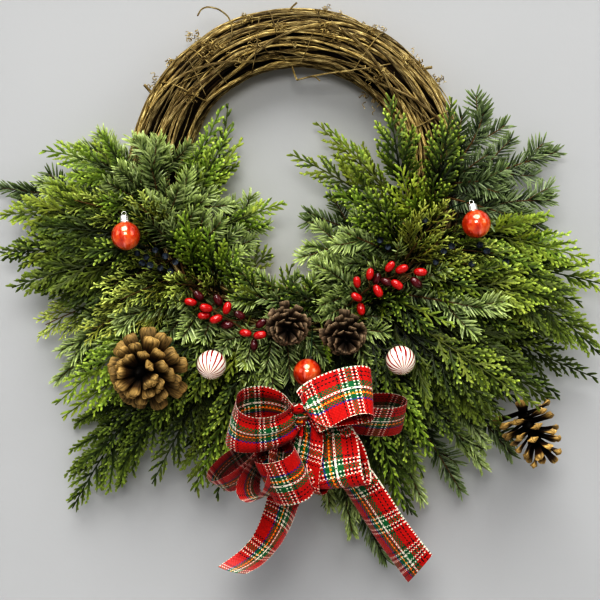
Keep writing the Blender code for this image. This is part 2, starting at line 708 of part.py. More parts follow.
def wired_cone(name, base, tip, reach, rows, colour, scale_wide, open_tip, anchor, bend=(0, 0, 0)):
    """A cone, and the wire pick from the middle of its base into the bundle."""
    base = Vector(base)
    tip = Vector(tip)
    pine_cone(name, base, tip, reach, rows, colour, scale_wide, open_tip)
    back = (base - tip).normalized()
    start = base + back * GAP
    leave = base + back * 0.006
    middle = (leave + anchor) / 2 + Vector(bend)
    pick(name + "_pick", None, [start] + arc_points(leave, middle, anchor, 4), WIRE_GREEN)


def cones():
    wired_cone("large_cone_left", (-0.165, -0.098, -0.362), (-0.170, -0.150, -0.366), 0.044, 24,
               CONE_TAN, 0.019, 0.50, in_bundle(233, 0.022), (0.006, 0.004, 0))
    wired_cone("large_cone_right", (0.262, -0.076, -0.416), (0.284, -0.100, -0.468), 0.034, 20,
               CONE_DARK, 0.015, 0.60, in_bundle(308, 0.004), (0, 0.014, 0))
    wired_cone("small_cone_left", (-0.010, -0.078, -0.312), (-0.010, -0.112, -0.322), 0.025, 13,
               CONE_DARK, 0.012, 0.55, in_bundle(267, 0.022))
    wired_cone("small_cone_right", (0.054, -0.080, -0.322), (0.057, -0.114, -0.334), 0.026, 13,
               CONE_DARK, 0.012, 0.55, in_bundle(287, 0.022))


def ornaments():
    ornament("orange_ball_left", (-0.192, -0.115, -0.214), ORANGE_BALL, GLASS_ORANGE, (-0.2, 0.45, 0.87),
             in_bundle(206, 0.024), (0, 0, 0.01))
    ornament("orange_ball_right", (0.203, -0.108, -0.200), ORANGE_BALL, GLASS_ORANGE, (-0.3, 0.45, 0.80),
             in_bundle(344, 0.024), (0, 0, 0.01))
    ornament("orange_ball_centre", (0.012, -0.100, -0.369), ORANGE_BALL, GLASS_ORANGE, (0.15, 0.75, 0.60),
             in_bundle(276, 0.022, -0.010))
    ornament("striped_ball_left", (-0.096, -0.112, -0.359), STRIPED_BALL, BALL_WHITE, (0.1, 0.8, 0.6),
             in_bundle(250, 0.024, -0.010))
    ornament("striped_ball_right", (0.117, -0.112, -0.354), STRIPED_BALL, BALL_WHITE, (-0.1, 0.8, 0.6),
             in_bundle(297, 0.024, -0.010))


def rose_hips():
    hip_sprig("rose_hips_left", in_bundle(214, 0.024), (0.0, -0.03, -0.01), (-0.040, -0.104, -0.326), [
        (0.45, (-0.012, -0.010, 0.012)), (0.55, (0.006, -0.012, 0.014)), (0.66, (-0.010, -0.012, -0.012)),
        (0.78, (0.010, -0.010, 0.012)), (0.93, (0.012, -0.010, -0.006))])
    hip_sprig("rose_hips_right", in_bundle(290, 0.024), (-0.02, -0.03, 0.01), (0.142, -0.106, -0.256), [
        (0.45, (-0.012, -0.010, 0.012)), (0.55, (0.012, -0.012, -0.010)), (0.66, (-0.008, -0.012, 0.014)),
        (0.78, (0.010, -0.012, -0.010)), (0.93, (0.010, -0.010, 0.006))])


def bow_wire():
    """The wire that ties the bow to the bottom of the ring."""
    start = KNOT + Vector((0, KNOT_DEEP + GAP, 0))
    leave = start + Vector((0, 0.008, 0))
    anchor = in_bundle(272, 0.010, -0.020)
    path = [start] + arc_points(leave, Vector((0.006, -0.080, -0.385)), anchor, 4)
    made = tube("bow_tie_wire", path, [PICK_WIRE] * len(path))
    made.data.materials.clear()
    made.data.materials.append(material("bow_tie_wire", WIRE_GREEN, 0.4, 0.8))
    cut_clear(made)


ring()
left_sprays()
low_sprays()
right_sprays()
inner_sprays()
front_sprays()
cones()
ornaments()
rose_hips()
bow()
bow_wire()
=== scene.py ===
import math

import bpy
import numpy as np
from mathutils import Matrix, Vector


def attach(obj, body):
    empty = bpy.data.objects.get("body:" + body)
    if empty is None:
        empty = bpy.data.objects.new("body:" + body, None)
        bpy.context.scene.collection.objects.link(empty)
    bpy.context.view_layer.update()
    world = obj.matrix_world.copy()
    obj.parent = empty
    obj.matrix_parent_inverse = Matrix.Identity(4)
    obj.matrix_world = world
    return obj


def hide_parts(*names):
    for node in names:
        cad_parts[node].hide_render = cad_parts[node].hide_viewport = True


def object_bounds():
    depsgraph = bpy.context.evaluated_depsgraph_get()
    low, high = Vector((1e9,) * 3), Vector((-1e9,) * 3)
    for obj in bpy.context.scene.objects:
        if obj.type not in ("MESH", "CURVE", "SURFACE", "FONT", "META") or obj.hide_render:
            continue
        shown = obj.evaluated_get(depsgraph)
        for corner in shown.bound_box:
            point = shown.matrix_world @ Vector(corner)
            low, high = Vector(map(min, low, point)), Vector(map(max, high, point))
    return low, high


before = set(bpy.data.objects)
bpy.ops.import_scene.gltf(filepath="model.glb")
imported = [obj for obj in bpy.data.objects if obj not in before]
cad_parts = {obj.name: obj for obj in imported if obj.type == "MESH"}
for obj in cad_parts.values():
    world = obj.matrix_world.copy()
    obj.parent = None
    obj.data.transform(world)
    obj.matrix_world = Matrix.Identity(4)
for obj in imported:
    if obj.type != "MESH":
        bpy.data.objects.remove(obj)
CAD_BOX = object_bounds()

# The looks of the grapevine wreath. Every piece is drawn here as triangles, many
# shoots at a time, in metres and in the frame of the CAD: the wall is the plane
# y = 0 and the wreath faces -y. What changes over a leaf is kept in a map named
# OFBake, whose first number is the tone, from 0 deep inside to 1 at a fresh tip,
# and whose second number varies from shoot to shoot. The leaf paints darken a low
# tone partly as painted shade and brighten the tips partly as painted highlight.

FRONT = np.array((0.0, -1.0, 0.0))
DOWN = np.array((0.0, 0.0, -1.0))
GOLDEN_ANGLE = math.radians(137.5)

# The ring, with the same values as the CAD
RING_RADIUS = 0.170
BUNDLE_WIDE = 0.0335
BUNDLE_DEEP = 0.0270
RING_DEPTH = -0.030
RING_CENTRE = -(RING_RADIUS - BUNDLE_WIDE)

# The photograph's view, from straight in front
VIEW_DISTANCE = 1.100
VIEW_CENTRE = (0.0037, -0.286)
VIEW_WIDTH = 0.7524          # of the wall, seen across the photograph's 600 pixels

WALL_GAP = 0.0015
KNOT = np.array((0.010, -0.124, -0.414))
RIBBON = 0.062


def seen(across, down, depth):
    """The place, depth metres before the wall, that the photograph shows at a pixel."""
    scale = VIEW_WIDTH / 600 * (1 - depth / VIEW_DISTANCE)
    return np.array((VIEW_CENTRE[0] + (across - 300) * scale, -depth,
                     VIEW_CENTRE[1] - (down - 300) * scale))


def unit(v):
    return v / np.maximum(np.linalg.norm(v, axis=-1, keepdims=True), 1e-12)


def on_bundle(around, across, out=0.0, share=1.0):
    """A point of the bundle: around the ring and across the bundle, in degrees."""
    turn, roll = np.radians(around), np.radians(across)
    wide = (BUNDLE_WIDE * share + out) * np.cos(roll)
    deep = (BUNDLE_DEEP * share + out) * np.sin(roll)
    reach = RING_RADIUS + wide
    return np.stack([reach * np.cos(turn), RING_DEPTH - deep, RING_CENTRE + reach * np.sin(turn)], -1)


def in_bundle(around, front=0.0, inward=0.0):
    """A point inside the bundle where a stem ends."""
    centre = np.array((-math.cos(math.radians(around)), 0, -math.sin(math.radians(around))))
    return on_bundle(around, 180, share=0.0) + FRONT * front + centre * inward


def metres(*values):
    """Lengths that are given in millimetres."""
    return [value / 1000 for value in values]


# Drafts: the triangles of a piece


class Draft:
    """The triangles of one piece, gathered as arrays."""

    def __init__(self):
        self.places, self.faces, self.maps, self.grains, self.slots = [], [], [], [], []
        self.count = 0

    def add(self, places, faces, maps, slot=0, grains=None):
        places, faces = places.reshape(-1, 3), faces.reshape(-1, 3)
        self.places.append(places)
        self.faces.append(faces + self.count)
        self.maps.append(maps.reshape(-1, 2))
        self.grains.append(maps.reshape(-1, 2) if grains is None else grains.reshape(-1, 2))
        self.slots.append(np.full(len(faces), slot))
        self.count += len(places)

    def piece(self, name, materials, node, bend=None):
        """The finished object, which rides on the wreath and replaces a CAD node."""
        places = np.concatenate(self.places)
        faces = np.concatenate(self.faces).astype(np.int32)
        if bend is not None:
            places = bend(places)
        mesh = bpy.data.meshes.new(name)
        mesh.vertices.add(len(places))
        mesh.vertices.foreach_set("co", places.astype(np.float32).ravel())
        mesh.loops.add(faces.size)
        mesh.loops.foreach_set("vertex_index", faces.ravel())
        mesh.polygons.add(len(faces))
        mesh.polygons.foreach_set("loop_start", np.arange(0, faces.size, 3, dtype=np.int32))
        mesh.polygons.foreach_set("material_index", np.concatenate(self.slots).astype(np.int32))
        mesh.polygons.foreach_set("use_smooth", np.ones(len(faces), bool))
        for label, values in (("OFBake", self.maps), ("grain", self.grains)):
            layer = mesh.uv_layers.new(name=label)
            layer.data.foreach_set("uv", np.concatenate(values)[faces.ravel()].astype(np.float32).ravel())
        for material in materials:
            mesh.materials.append(material)
        mesh.update(calc_edges=True)
        made = bpy.data.objects.new(name, mesh)
        bpy.context.scene.collection.objects.link(made)
        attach(made, "root")
        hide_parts(node)
        return made


def grid_faces(rows, columns):
    """Triangles of a grid of points, rows by columns."""
    low = np.arange(rows - 1)[:, None] * columns + np.arange(columns - 1)
    a, b, c, d = low, low + 1, low + columns, low + columns + 1
    return np.stack([np.stack([a, b, c], -1), np.stack([b, d, c], -1)], -2).reshape(-1, 3)


def repeat_faces(template, times, size):
    return (template[None] + (np.arange(times) * size)[:, None, None]).reshape(-1, 3)


def tubes(draft, paths, radii, sides, tone, vary, slot, grain=None):
    """Tubes along paths, an array of tubes by points, closed flat at both ends."""
    def capped(values, share=1.0):
        return np.concatenate([values[:, :1] * share, values, values[:, -1:] * share], 1)

    ahead = capped(unit(np.gradient(paths, axis=1)))
    paths, tone, radii = capped(paths), capped(tone), capped(radii, 0.02)
    count, steps = radii.shape
    normals = np.empty_like(paths)
    start = np.cross(ahead[:, 0], FRONT + 0.01)
    normals[:, 0] = unit(start)
    for step in range(1, steps):
        last = normals[:, step - 1]
        normals[:, step] = unit(last - ahead[:, step] * (last * ahead[:, step]).sum(-1, keepdims=True))
    others = np.cross(ahead, normals)
    roll = np.linspace(0, math.tau, sides + 1)
    ring = normals[:, :, None] * np.cos(roll)[:, None] + others[:, :, None] * np.sin(roll)[:, None]
    places = paths[:, :, None] + ring * radii[:, :, None, None]
    share = np.broadcast_to(roll / math.tau, places.shape[:3])
    tones = np.broadcast_to(tone[:, :, None], share.shape)
    bands = vary[:, None, None] + (share - 0.5) * 0.008
    grains = None
    if grain is not None:
        walk = np.cumsum(np.linalg.norm(np.diff(paths, axis=1, prepend=paths[:, :1]), axis=-1), 1)
        grains = np.stack([np.broadcast_to(walk[:, :, None], share.shape),
                           share * math.tau * radii.mean() + grain[:, None, None]], -1)
    faces = repeat_faces(grid_faces(steps, sides + 1), count, steps * (sides + 1))
    draft.add(places, faces, np.stack([tones, bands], -1), slot, grains)


def rod(draft, path, radius, sides, tone, slot=0, grain=None):
    """One tube along a path. Radius and tone are single numbers or one for each point."""
    shape = (1, len(path))
    tubes(draft, path[None], np.full(shape, radius), sides, np.full(shape, tone), np.array([0.5]), slot,
          grain)


def smooth(points, steps, passes):
    """A path of so many steps through points, rounded off by passes."""
    points = np.array(points)
    knots = np.linspace(0, 1, len(points))
    fine = np.linspace(0, 1, steps)
    path = np.stack([np.interp(fine, knots, points[:, k]) for k in range(3)], -1)
    for _ in range(passes):
        path[1:-1] = (path[:-2] + 2 * path[1:-1] + path[2:]) / 4
    return path


# Shoots: many short curves at once, that leaves and twigs are drawn on


class Shoots:
    """Start, first way, bend, length and face of each of many short curves."""

    def __init__(self, start, way, bend, length, face, low, high, vary):
        self.start, self.way, self.bend, self.length, self.face = start, way, bend, length, face
        every = np.ones(len(length))
        self.low, self.high, self.vary = every * low, every * high, every * vary

    def at(self, owner, share):
        share = share[:, None]
        way, bend = self.way[owner], self.bend[owner]
        spot = self.start[owner] + self.length[owner][:, None] * (way * share + bend * share ** 2)
        along = unit(way + 2 * bend * share)
        side = unit(np.cross(along, self.face[owner]))
        return spot, along, side, np.cross(side, along)

    def tone(self, owner, share):
        return self.low[owner] + (self.high[owner] - self.low[owner]) * share


def stem_of(root, tip, bend, vary):
    """One shoot along the same arc as the CAD's stem."""
    root, tip, bend = np.array(root, float), np.array(tip, float), np.array(bend, float)
    middle = (root + tip) / 2 + bend
    length = np.linalg.norm(2 * (middle - root))
    return Shoots(root[None], 2 * (middle - root)[None] / length, (root - 2 * middle + tip)[None] / length,
                  np.array([length]), FRONT[None], 0.0, 0.6, vary)


def spaced(parent, step, first, last):
    """Spots every step metres along each parent: their number, and each one's owner and order."""
    count = np.maximum(1, (last - first) * parent.length / step).astype(int)
    owner = np.repeat(np.arange(len(count)), count)
    return count, owner, np.arange(count.sum()) - np.repeat(np.cumsum(count) - count, count)


def offshoots(parent, rng, step, first, last, reach, angle, lift, curl, gain, sag=0.0, least=0.003):
    """Side shoots, by turns left and right, every step metres along each parent.

    Reach gives the length as a share of the parent's, from the place, 0 to 1.
    """
    count, owner, order = spaced(parent, step, first, last)
    total = len(owner)
    place = (order + rng.uniform(0.25, 0.75, total)) / count[owner]
    share = first + (last - first) * place
    length = reach(place) * parent.length[owner] * rng.uniform(0.78, 1.14, total)
    keep = length > least
    owner, order, place, share, length = (x[keep] for x in (owner, order, place, share, length))
    total = len(owner)
    sign = np.where((order + owner) % 2, 1.0, -1.0)[:, None]
    spot, along, side, out = parent.at(owner, share)
    turn = (angle * (1 - 0.25 * place) * rng.normal(1, 0.13, total))[:, None]
    rise = (lift * rng.normal(0, 1, total))[:, None]
    sideways = side * sign * np.cos(rise) + out * np.sin(rise)
    way = along * np.cos(turn) + sideways * np.sin(turn)
    straight = along - way * (along * way).sum(-1, keepdims=True)
    bend = straight * curl + DOWN * sag * rng.uniform(0.4, 1.3, (total, 1))
    face = unit(out + side * rng.normal(0, 0.2, (total, 1)) + along * rng.normal(0, 0.2, (total, 1)))
    low = parent.tone(owner, share)
    vary = np.clip(parent.vary[owner] + rng.normal(0, 0.07, total), 0.02, 0.98)
    return Shoots(spot, way, bend, length, face, low,
                  np.minimum(1.0, low + gain * rng.uniform(0.7, 1.2, total)), vary)


def blades(draft, shoots, rows, widths, half, ridge, slot):
    """A ridged leaf on each shoot. Rows are shares of its length, and the last is its point."""
    count, last = len(shoots.length), len(rows) - 1
    owner = np.repeat(np.arange(count), last)
    spot, _, side, out = shoots.at(owner, np.tile(rows[:-1], count))
    wide = (np.tile(widths[:-1], count) * np.broadcast_to(half, count)[owner])[:, None]
    body = np.stack([spot - side * wide, spot + out * wide * ridge, spot + side * wide], 1)
    body = body.reshape(count, last * 3, 3)
    everyone = np.arange(count)
    point = shoots.at(everyone, np.full(count, rows[-1]))[0][:, None]
    places = np.concatenate([body, point], 1)
    tones = np.repeat(np.tile(rows[:-1], (count, 1)), 3, 1)
    tones = np.concatenate([tones, np.full((count, 1), rows[-1])], 1)
    tones = shoots.low[:, None] + (shoots.high - shoots.low)[:, None] * tones
    sides = np.concatenate([np.tile((-1.0, 0.0, 1.0), last), (0.0,)]) * 0.006
    bands = shoots.vary[:, None] + sides
    template = []
    for row in range(last - 1):
        a = 3 * row
        template += [(a, a + 1, a + 4), (a, a + 4, a + 3), (a + 1, a + 2, a + 5), (a + 1, a + 5, a + 4)]
    a = 3 * (last - 1)
    template += [(a, a + 1, a + 3), (a + 1, a + 2, a + 3)]
    faces = repeat_faces(np.array(template), count, 3 * last + 1)
    draft.add(places, faces, np.stack([tones, bands], -1), slot)


def scales(draft, shoots, half, slot):
    """A small folded scale on each shoot: its base, two edges and point."""
    count = len(shoots.length)
    every = np.arange(count)
    middle, _, side, out = shoots.at(every, np.full(count, 0.45))
    base, tip = (shoots.at(every, np.full(count, share))[0] for share in (0.0, 1.0))
    places = np.stack([base, middle - (side + out * 0.4) * half, tip, middle + (side - out * 0.4) * half], 1)
    tones = shoots.low[:, None] + (shoots.high - shoots.low)[:, None] * np.array((0, 0.5, 1, 0.5))
    bands = shoots.vary[:, None] + np.array((0.0, -0.006, 0.0, 0.006))
    faces = repeat_faces(np.array(((0, 1, 2), (0, 2, 3))), count, 4)
    draft.add(places, faces, np.stack([tones, bands], -1), slot)


def twigs(draft, shoots, steps, thick, thin, sides, slot, tone=None):
    """A round twig along each shoot."""
    count = len(shoots.length)
    owner = np.repeat(np.arange(count), steps)
    share = np.tile(np.linspace(0, 1, steps), count)
    spot = shoots.at(owner, share)[0].reshape(count, steps, 3)
    radii = np.broadcast_to(np.linspace(thick, thin, steps), (count, steps))
    tones = shoots.tone(owner, share).reshape(count, steps) if tone is None else np.full((count, steps), tone)
    tubes(draft, spot, radii, sides, tones, shoots.vary, slot)


# Materials


class Paint:
    """A material whose nodes are made a call at a time."""

    def __init__(self, name, **values):
        self.material = bpy.data.materials.new(name)
        self.material.use_nodes = True
        self.nodes, self.links = self.material.node_tree.nodes, self.material.node_tree.links
        self.shader = self.nodes["Principled BSDF"]
        for label, value in values.items():
            self.set(self.shader, label.replace("_", " "), value)

    def set(self, node, label, value):
        socket = node.inputs[label]
        if isinstance(value, bpy.types.NodeSocket):
            self.links.new(value, socket)
        elif isinstance(value, tuple) and len(value) == 3 and socket.type == "RGBA":
            socket.default_value = (*value, 1.0)
        else:
            socket.default_value = value

    def node(self, kind, inputs=(), **settings):
        made = self.nodes.new("ShaderNode" + kind)
        for label, value in settings.items():
            setattr(made, label, value)
        for label, value in inputs:
            self.set(made, label, value)
        return made

    def sum(self, operation, a, b=0.0, c=0.0):
        return self.node("Math", ((0, a), (1, b), (2, c)), operation=operation).outputs[0]

    def map(self, name):
        """The two numbers of a map."""
        flat = self.node("UVMap", uv_map=name).outputs[0]
        split = self.node("SeparateXYZ", ((0, flat),))
        return flat, split.outputs[0], split.outputs[1]

    def ramp(self, value, stops, step=False):
        made = self.node("ValToRGB", ((0, value),))
        ramp = made.color_ramp
        ramp.interpolation = "CONSTANT" if step else "LINEAR"
        while len(ramp.elements) < len(stops):
            ramp.elements.new(0.5)
        for element, (place, colour) in zip(ramp.elements, stops):
            element.position = place
            element.color = (*colour, 1.0) if isinstance(colour, tuple) else (colour, colour, colour, 1.0)
        return made.outputs[0]

    def mix(self, share, a, b, blend="MIX"):
        return self.node("Mix", ((0, share), (6, a), (7, b)), data_type="RGBA", blend_type=blend).outputs[2]

    def closed(self, around, up, turns, rise):
        """A place on a tube, so that a pattern meets itself all round."""
        angle = self.sum("MULTIPLY", around, math.tau)
        parts = [self.sum("MULTIPLY", self.sum(kind, angle), turns) for kind in ("COSINE", "SINE")]
        return self.node("CombineXYZ", ((0, parts[0]), (1, parts[1]),
                                        (2, self.sum("MULTIPLY", up, rise)))).outputs[0]

    def noise(self, vector, scale, detail=3.0, roughness=0.55):
        return self.node("TexNoise", (("Vector", vector), ("Scale", scale), ("Detail", detail),
                                      ("Roughness", roughness))).outputs["Fac"]

    def stretched(self, vector, scale):
        return self.node("Mapping", (("Vector", vector), ("Scale", scale))).outputs[0]

    def bump(self, height, distance, strength=1.0):
        made = self.node("Bump", (("Height", height), ("Distance", distance), ("Strength", strength)))
        self.set(self.shader, "Normal", made.outputs[0])

    def colour(self, value):
        self.set(self.shader, "Base Color", value)
        return self.material


def leaf_paint(name, deep, middle, fresh, odd, roughness=0.5):
    """Green from deep to fresh along each shoot, with bands where its scales overlap.

    The deep end is painted shade inside the spray as well as the shoot's own darker old
    growth, and the brightest tips are partly a painted highlight. The slow noise named
    light is painted light and shade, lightening some shoots and darkening others.
    """
    paint = Paint(name, Roughness=roughness, Specular_IOR_Level=0.35)
    place, tone, vary = paint.map("OFBake")
    # Painted shade at the deep end of the tone, besides the darker old growth; the top end is partly a
    # painted highlight.
    shade = paint.ramp(tone, ((0.0, deep), (0.20, deep), (0.50, middle), (0.82, fresh),
                              (1.0, tuple(1.4 * c for c in fresh))))
    shade = paint.mix(paint.ramp(vary, ((0.15, 0.75), (0.5, 0.0), (0.62, 0.0), (0.9, 0.6))), shade, odd)
    wave = paint.sum("SINE", paint.sum("MULTIPLY", tone, 210.0))
    band = paint.sum("MULTIPLY_ADD", wave, 0.13, 0.87)
    shade = paint.mix(1.0, shade, band, "MULTIPLY")
    # Painted light and shade in patches, from shoot to shoot and slowly along each.
    light = paint.ramp(paint.noise(paint.stretched(place, (6.0, 30.0, 1.0)), 1.0), ((0.3, 0.48), (0.7, 1.55)))
    return paint.colour(paint.mix(1.0, shade, light, "MULTIPLY"))


def bark_paint(name, dark, middle, pale):
    """Fibrous bark: streaks along the vine, each vine with a tone of its own."""
    paint = Paint(name, Roughness=0.72, Specular_IOR_Level=0.3)
    grain = paint.map("grain")[0]
    streak = paint.noise(paint.stretched(grain, (90.0, 1500.0, 1.0)), 1.0, 4.0, 0.6)
    patch = paint.noise(paint.stretched(grain, (14.0, 60.0, 1.0)), 1.0, 2.0)
    colour = paint.ramp(streak, ((0.34, dark), (0.49, middle), (0.66, pale)))
    own = paint.ramp(paint.map("OFBake")[2], ((0.0, 0.50), (0.5, 0.95), (1.0, 1.40)))
    colour = paint.mix(1.0, colour, own, "MULTIPLY")
    tint = paint.ramp(patch, ((0.30, (0.30, 0.26, 0.20)), (0.5, (0.85, 0.84, 0.76)),
                              (0.70, (1.45, 1.42, 1.15))))
    paint.bump(streak, 0.0009, 0.9)
    paint.set(paint.shader, "Roughness", paint.ramp(streak, ((0.3, 0.85), (0.7, 0.58))))
    return paint.colour(paint.mix(1.0, colour, tint, "MULTIPLY"))


# Painted light and shade: the three cedar paints after the first are copies of it, one lighter for fronds in
# the light and two darker for low, hidden and back fronds in shade.
CEDAR = leaf_paint("cedar", (0.004, 0.009, 0.001), (0.055, 0.090, 0.009), (0.42, 0.52, 0.105),
                   (0.28, 0.31, 0.05))
CEDAR_PAINTED_LIT = leaf_paint("cedar_light", (0.016, 0.027, 0.004), (0.135, 0.205, 0.022), (0.45, 0.57, 0.12),
                         (0.38, 0.42, 0.07))
CEDAR_PAINTED_HALF_SHADE = leaf_paint("cedar_painted_half_shade", (0.003, 0.006, 0.001), (0.030, 0.051, 0.006), (0.21, 0.27, 0.050),
                       (0.16, 0.19, 0.03))
CEDAR_PAINTED_SHADE = leaf_paint("cedar_painted_shade", (0.004, 0.008, 0.002), (0.026, 0.045, 0.006), (0.13, 0.18, 0.036),
                        (0.08, 0.10, 0.015))
FIR = leaf_paint("fir", (0.005, 0.010, 0.003), (0.080, 0.118, 0.036), (0.44, 0.53, 0.195), (0.58, 0.66, 0.35),
                 0.32)
FIR_DARK = leaf_paint("fir_dark", (0.004, 0.008, 0.003), (0.032, 0.052, 0.017), (0.17, 0.225, 0.082),
                      (0.34, 0.41, 0.22), 0.34)
JUNIPER = leaf_paint("juniper", (0.010, 0.012, 0.003), (0.125, 0.160, 0.027), (0.60, 0.68, 0.20),
                     (0.32, 0.31, 0.06), 0.45)
VINE = bark_paint("vine", (0.022, 0.014, 0.006), (0.235, 0.170, 0.072), (0.80, 0.69, 0.41))
# Painted shade: the inner vines of the bundle take this near-black bark, as shade inside the ring.
VINE_PAINTED_SHADE = bark_paint("vine_inside_painted_shade", (0.006, 0.004, 0.002), (0.030, 0.018, 0.008), (0.085, 0.052, 0.022))
TWIG = bark_paint("twig", (0.03, 0.014, 0.006), (0.12, 0.065, 0.028), (0.26, 0.16, 0.08))

# What the leaves pass behind: its place and radius
OBSTACLES = []
EYE = np.array((VIEW_CENTRE[0], -VIEW_DISTANCE, VIEW_CENTRE[1]))
GIVE_WAY = 1.75              # of an ornament's radius, where leaves before it begin to give way
BEHIND = 0.55                # of its radius, how far behind its middle they pass
BOX_ROOM = 0.025             # of each side of the CAD's box, how far leaves may stand past it
NEAR_WALL = 0.006            # from the wall, where leaves begin to flatten against it
SOFT_WALL = 0.0045           # and over what depth they do


def tuck(places):
    """Leaves bend behind the ornaments, off the wall, and stay in the CAD's box.

    A leaf that would hide an ornament moves back along the line of sight.
    """
    for centre, radius in OBSTACLES:
        sight = unit(centre - EYE)
        span = np.linalg.norm(centre - EYE)
        away = places - EYE
        along = away @ sight
        aside = np.linalg.norm(away - along[:, None] * sight, axis=1) * span / np.maximum(along, 0.1)
        weight = np.clip((GIVE_WAY * radius - aside) / ((GIVE_WAY - 1) * radius), 0, 1)
        weight = weight * weight * (3 - 2 * weight)
        needed = np.maximum(0, centre[1] + BEHIND * radius - places[:, 1]) * weight
        places = EYE + away * (1 + needed / (places[:, 1] - EYE[1]))[:, None]
        from_centre = places - centre
        distance = np.linalg.norm(from_centre, axis=1)
        near = distance < radius
        places[near] = centre + from_centre[near] * (radius / np.maximum(distance[near], 1e-6))[:, None]
    low, high = np.array(CAD_BOX[0]), np.array(CAD_BOX[1])
    room = (high - low) * BOX_ROOM
    places = np.clip(places, low - room, high + room)
    off = np.maximum(-places[:, 1], 0)
    soft = WALL_GAP + SOFT_WALL * np.exp((off - NEAR_WALL) / SOFT_WALL)
    places[:, 1] = np.where(off < NEAR_WALL, -soft, places[:, 1])
    places[:, 1] = np.minimum(places[:, 1], -WALL_GAP - 0.0001)
    return places


# Greens: each is drawn on a stem, from half its width (a fir's needle length), its bare
# share and the slots of its leaf and wood paints

SAG = 0.05                   # how far side shoots hang, as a share of their length
FIR_TWIGS = 4                # side twigs of a fir spray
FIR_REACH = 0.055            # and how long they are


def cedar(draft, stem, rng, half, bare, leaf, wood, comb=0.0):
    """Flat sprays of scale leaves: three orders of side shoots, each shorter.

    Comb, 0 to 1, sweeps the shoots forward and makes them longer and plainer.
    """
    stem.high = np.array([0.45])
    length = stem.length[0]
    longest = half / math.sin(0.62) / length

    def outline(place):
        return longest * np.where(place < 0.22, 0.60 + 1.8 * place, 1.0 - 0.84 * (place - 0.22) / 0.78)

    twigs(draft, stem, 12, 0.0013, 0.0007, 5, leaf)
    first = offshoots(stem, rng, 0.0074, bare, 0.985, outline, 0.68 - 0.12 * comb, lift=0.26, curl=0.16,
                      sag=SAG, gain=0.30)
    blades(draft, first, np.linspace(0, 1, 6), np.array((0.8, 1, 1, 0.95, 0.8, 0)), 0.00145, 0.5, leaf)
    second = offshoots(first, rng, 0.0040, 0.06, 0.97, lambda p: (0.32 + 0.14 * comb) * (1.0 - 0.62 * p),
                       0.62 - 0.16 * comb, lift=0.18, curl=0.10, sag=SAG * 0.4, gain=0.40, least=0.004)
    blades(draft, second, np.array((0, 0.35, 0.8, 1)), np.array((0.8, 1.0, 0.85, 0)), 0.0014, 0.45, leaf)
    third = offshoots(second, rng, 0.0031 + 0.0014 * comb, 0.12, 0.90, lambda p: 0.48 - 0.22 * p,
                      0.62 - 0.10 * comb, lift=0.16, curl=0.0, gain=0.25, least=0.0022)
    scales(draft, third, 0.0014, leaf)


def fir(draft, stem, rng, needle, bare, leaf, wood, step=0.00085, roll=(-32, 66)):
    """A twig with side twigs, set with flat needles every step metres, rolled about the twig."""
    stem.high = np.array([0.55])
    twigs(draft, stem, 12, 0.0015, 0.0007, 5, wood, tone=0.3)
    length = stem.length[0]
    side = offshoots(stem, rng, (1 - bare) * length / FIR_TWIGS, bare * 0.9, 0.90,
                     lambda p: FIR_REACH / length * (1.15 - 0.7 * p), 0.80, lift=0.12, curl=0.22, gain=0.3)
    twigs(draft, side, 7, 0.0010, 0.0006, 4, wood, tone=0.3)
    for parent, first in ((stem, bare), (side, 0.10)):
        count, owner, order = spaced(parent, step, first, 1.0)
        total = len(owner)
        place = (order + rng.uniform(0, 1, total)) / count[owner]
        spot, along, across, out = parent.at(owner, first + (1.0 - first) * place)
        tilt = np.radians(rng.uniform(*roll, total))[:, None]
        sign = np.where(order % 2, 1.0, -1.0)[:, None]
        turn = np.radians((62 - 34 * place ** 3) * rng.normal(1, 0.10, total))[:, None]
        sideways = across * sign * np.cos(tilt) + out * np.sin(tilt)
        way = along * np.cos(turn) + sideways * np.sin(turn)
        size = needle * rng.uniform(0.72, 1.08, total) * (1.0 - 0.35 * place ** 4)
        face = unit(out + along * 0.3 + sideways * 0.2)
        low = parent.tone(owner, place) * 0.6 + 0.10
        vary = np.clip(rng.normal(0.5, 0.17, total), 0.02, 0.98)
        leaves = Shoots(spot, way, along * 0.12, size, face, low, low + 0.45, vary)
        blades(draft, leaves, np.array((0, 0.3, 0.8, 1)), np.array((0.6, 1.0, 0.9, 0)), 0.00098, 0.45, leaf)


def juniper(draft, stem, rng, half, bare, leaf, wood):
    """Thin forked cords on a brown stem."""
    stem.high = np.array([0.5])
    longest = half / math.sin(0.6) / stem.length[0]
    twigs(draft, stem, 12, 0.0012, 0.0006, 5, wood, tone=0.3)
    first = offshoots(stem, rng, 0.0080, bare * 0.7, 0.98, lambda p: longest * (1.0 - 0.62 * p), 0.66,
                      lift=0.45, curl=0.25, sag=SAG, gain=0.2)
    twigs(draft, first, 6, 0.0008, 0.0005, 4, leaf)
    second = offshoots(first, rng, 0.0042, 0.15, 1.0, lambda p: 0.55 - 0.30 * p, 0.55, lift=0.5, curl=0.1,
                       gain=0.35, least=0.005)
    blades(draft, second, np.array((0, 0.4, 0.8, 1)), np.array((0.9, 1, 0.9, 0)), 0.0009, 0.9, leaf)
    third = offshoots(second, rng, 0.0036, 0.15, 0.95, lambda p: 0.5 - 0.2 * p, 0.55, lift=0.5, curl=0.1,
                      gain=0.3, least=0.003)
    blades(draft, third, np.array((0, 0.5, 1)), np.array((0.9, 1, 0)), 0.0008, 0.9, leaf)


DRAWN = {"cedar": cedar, "juniper": juniper, "fir": fir}


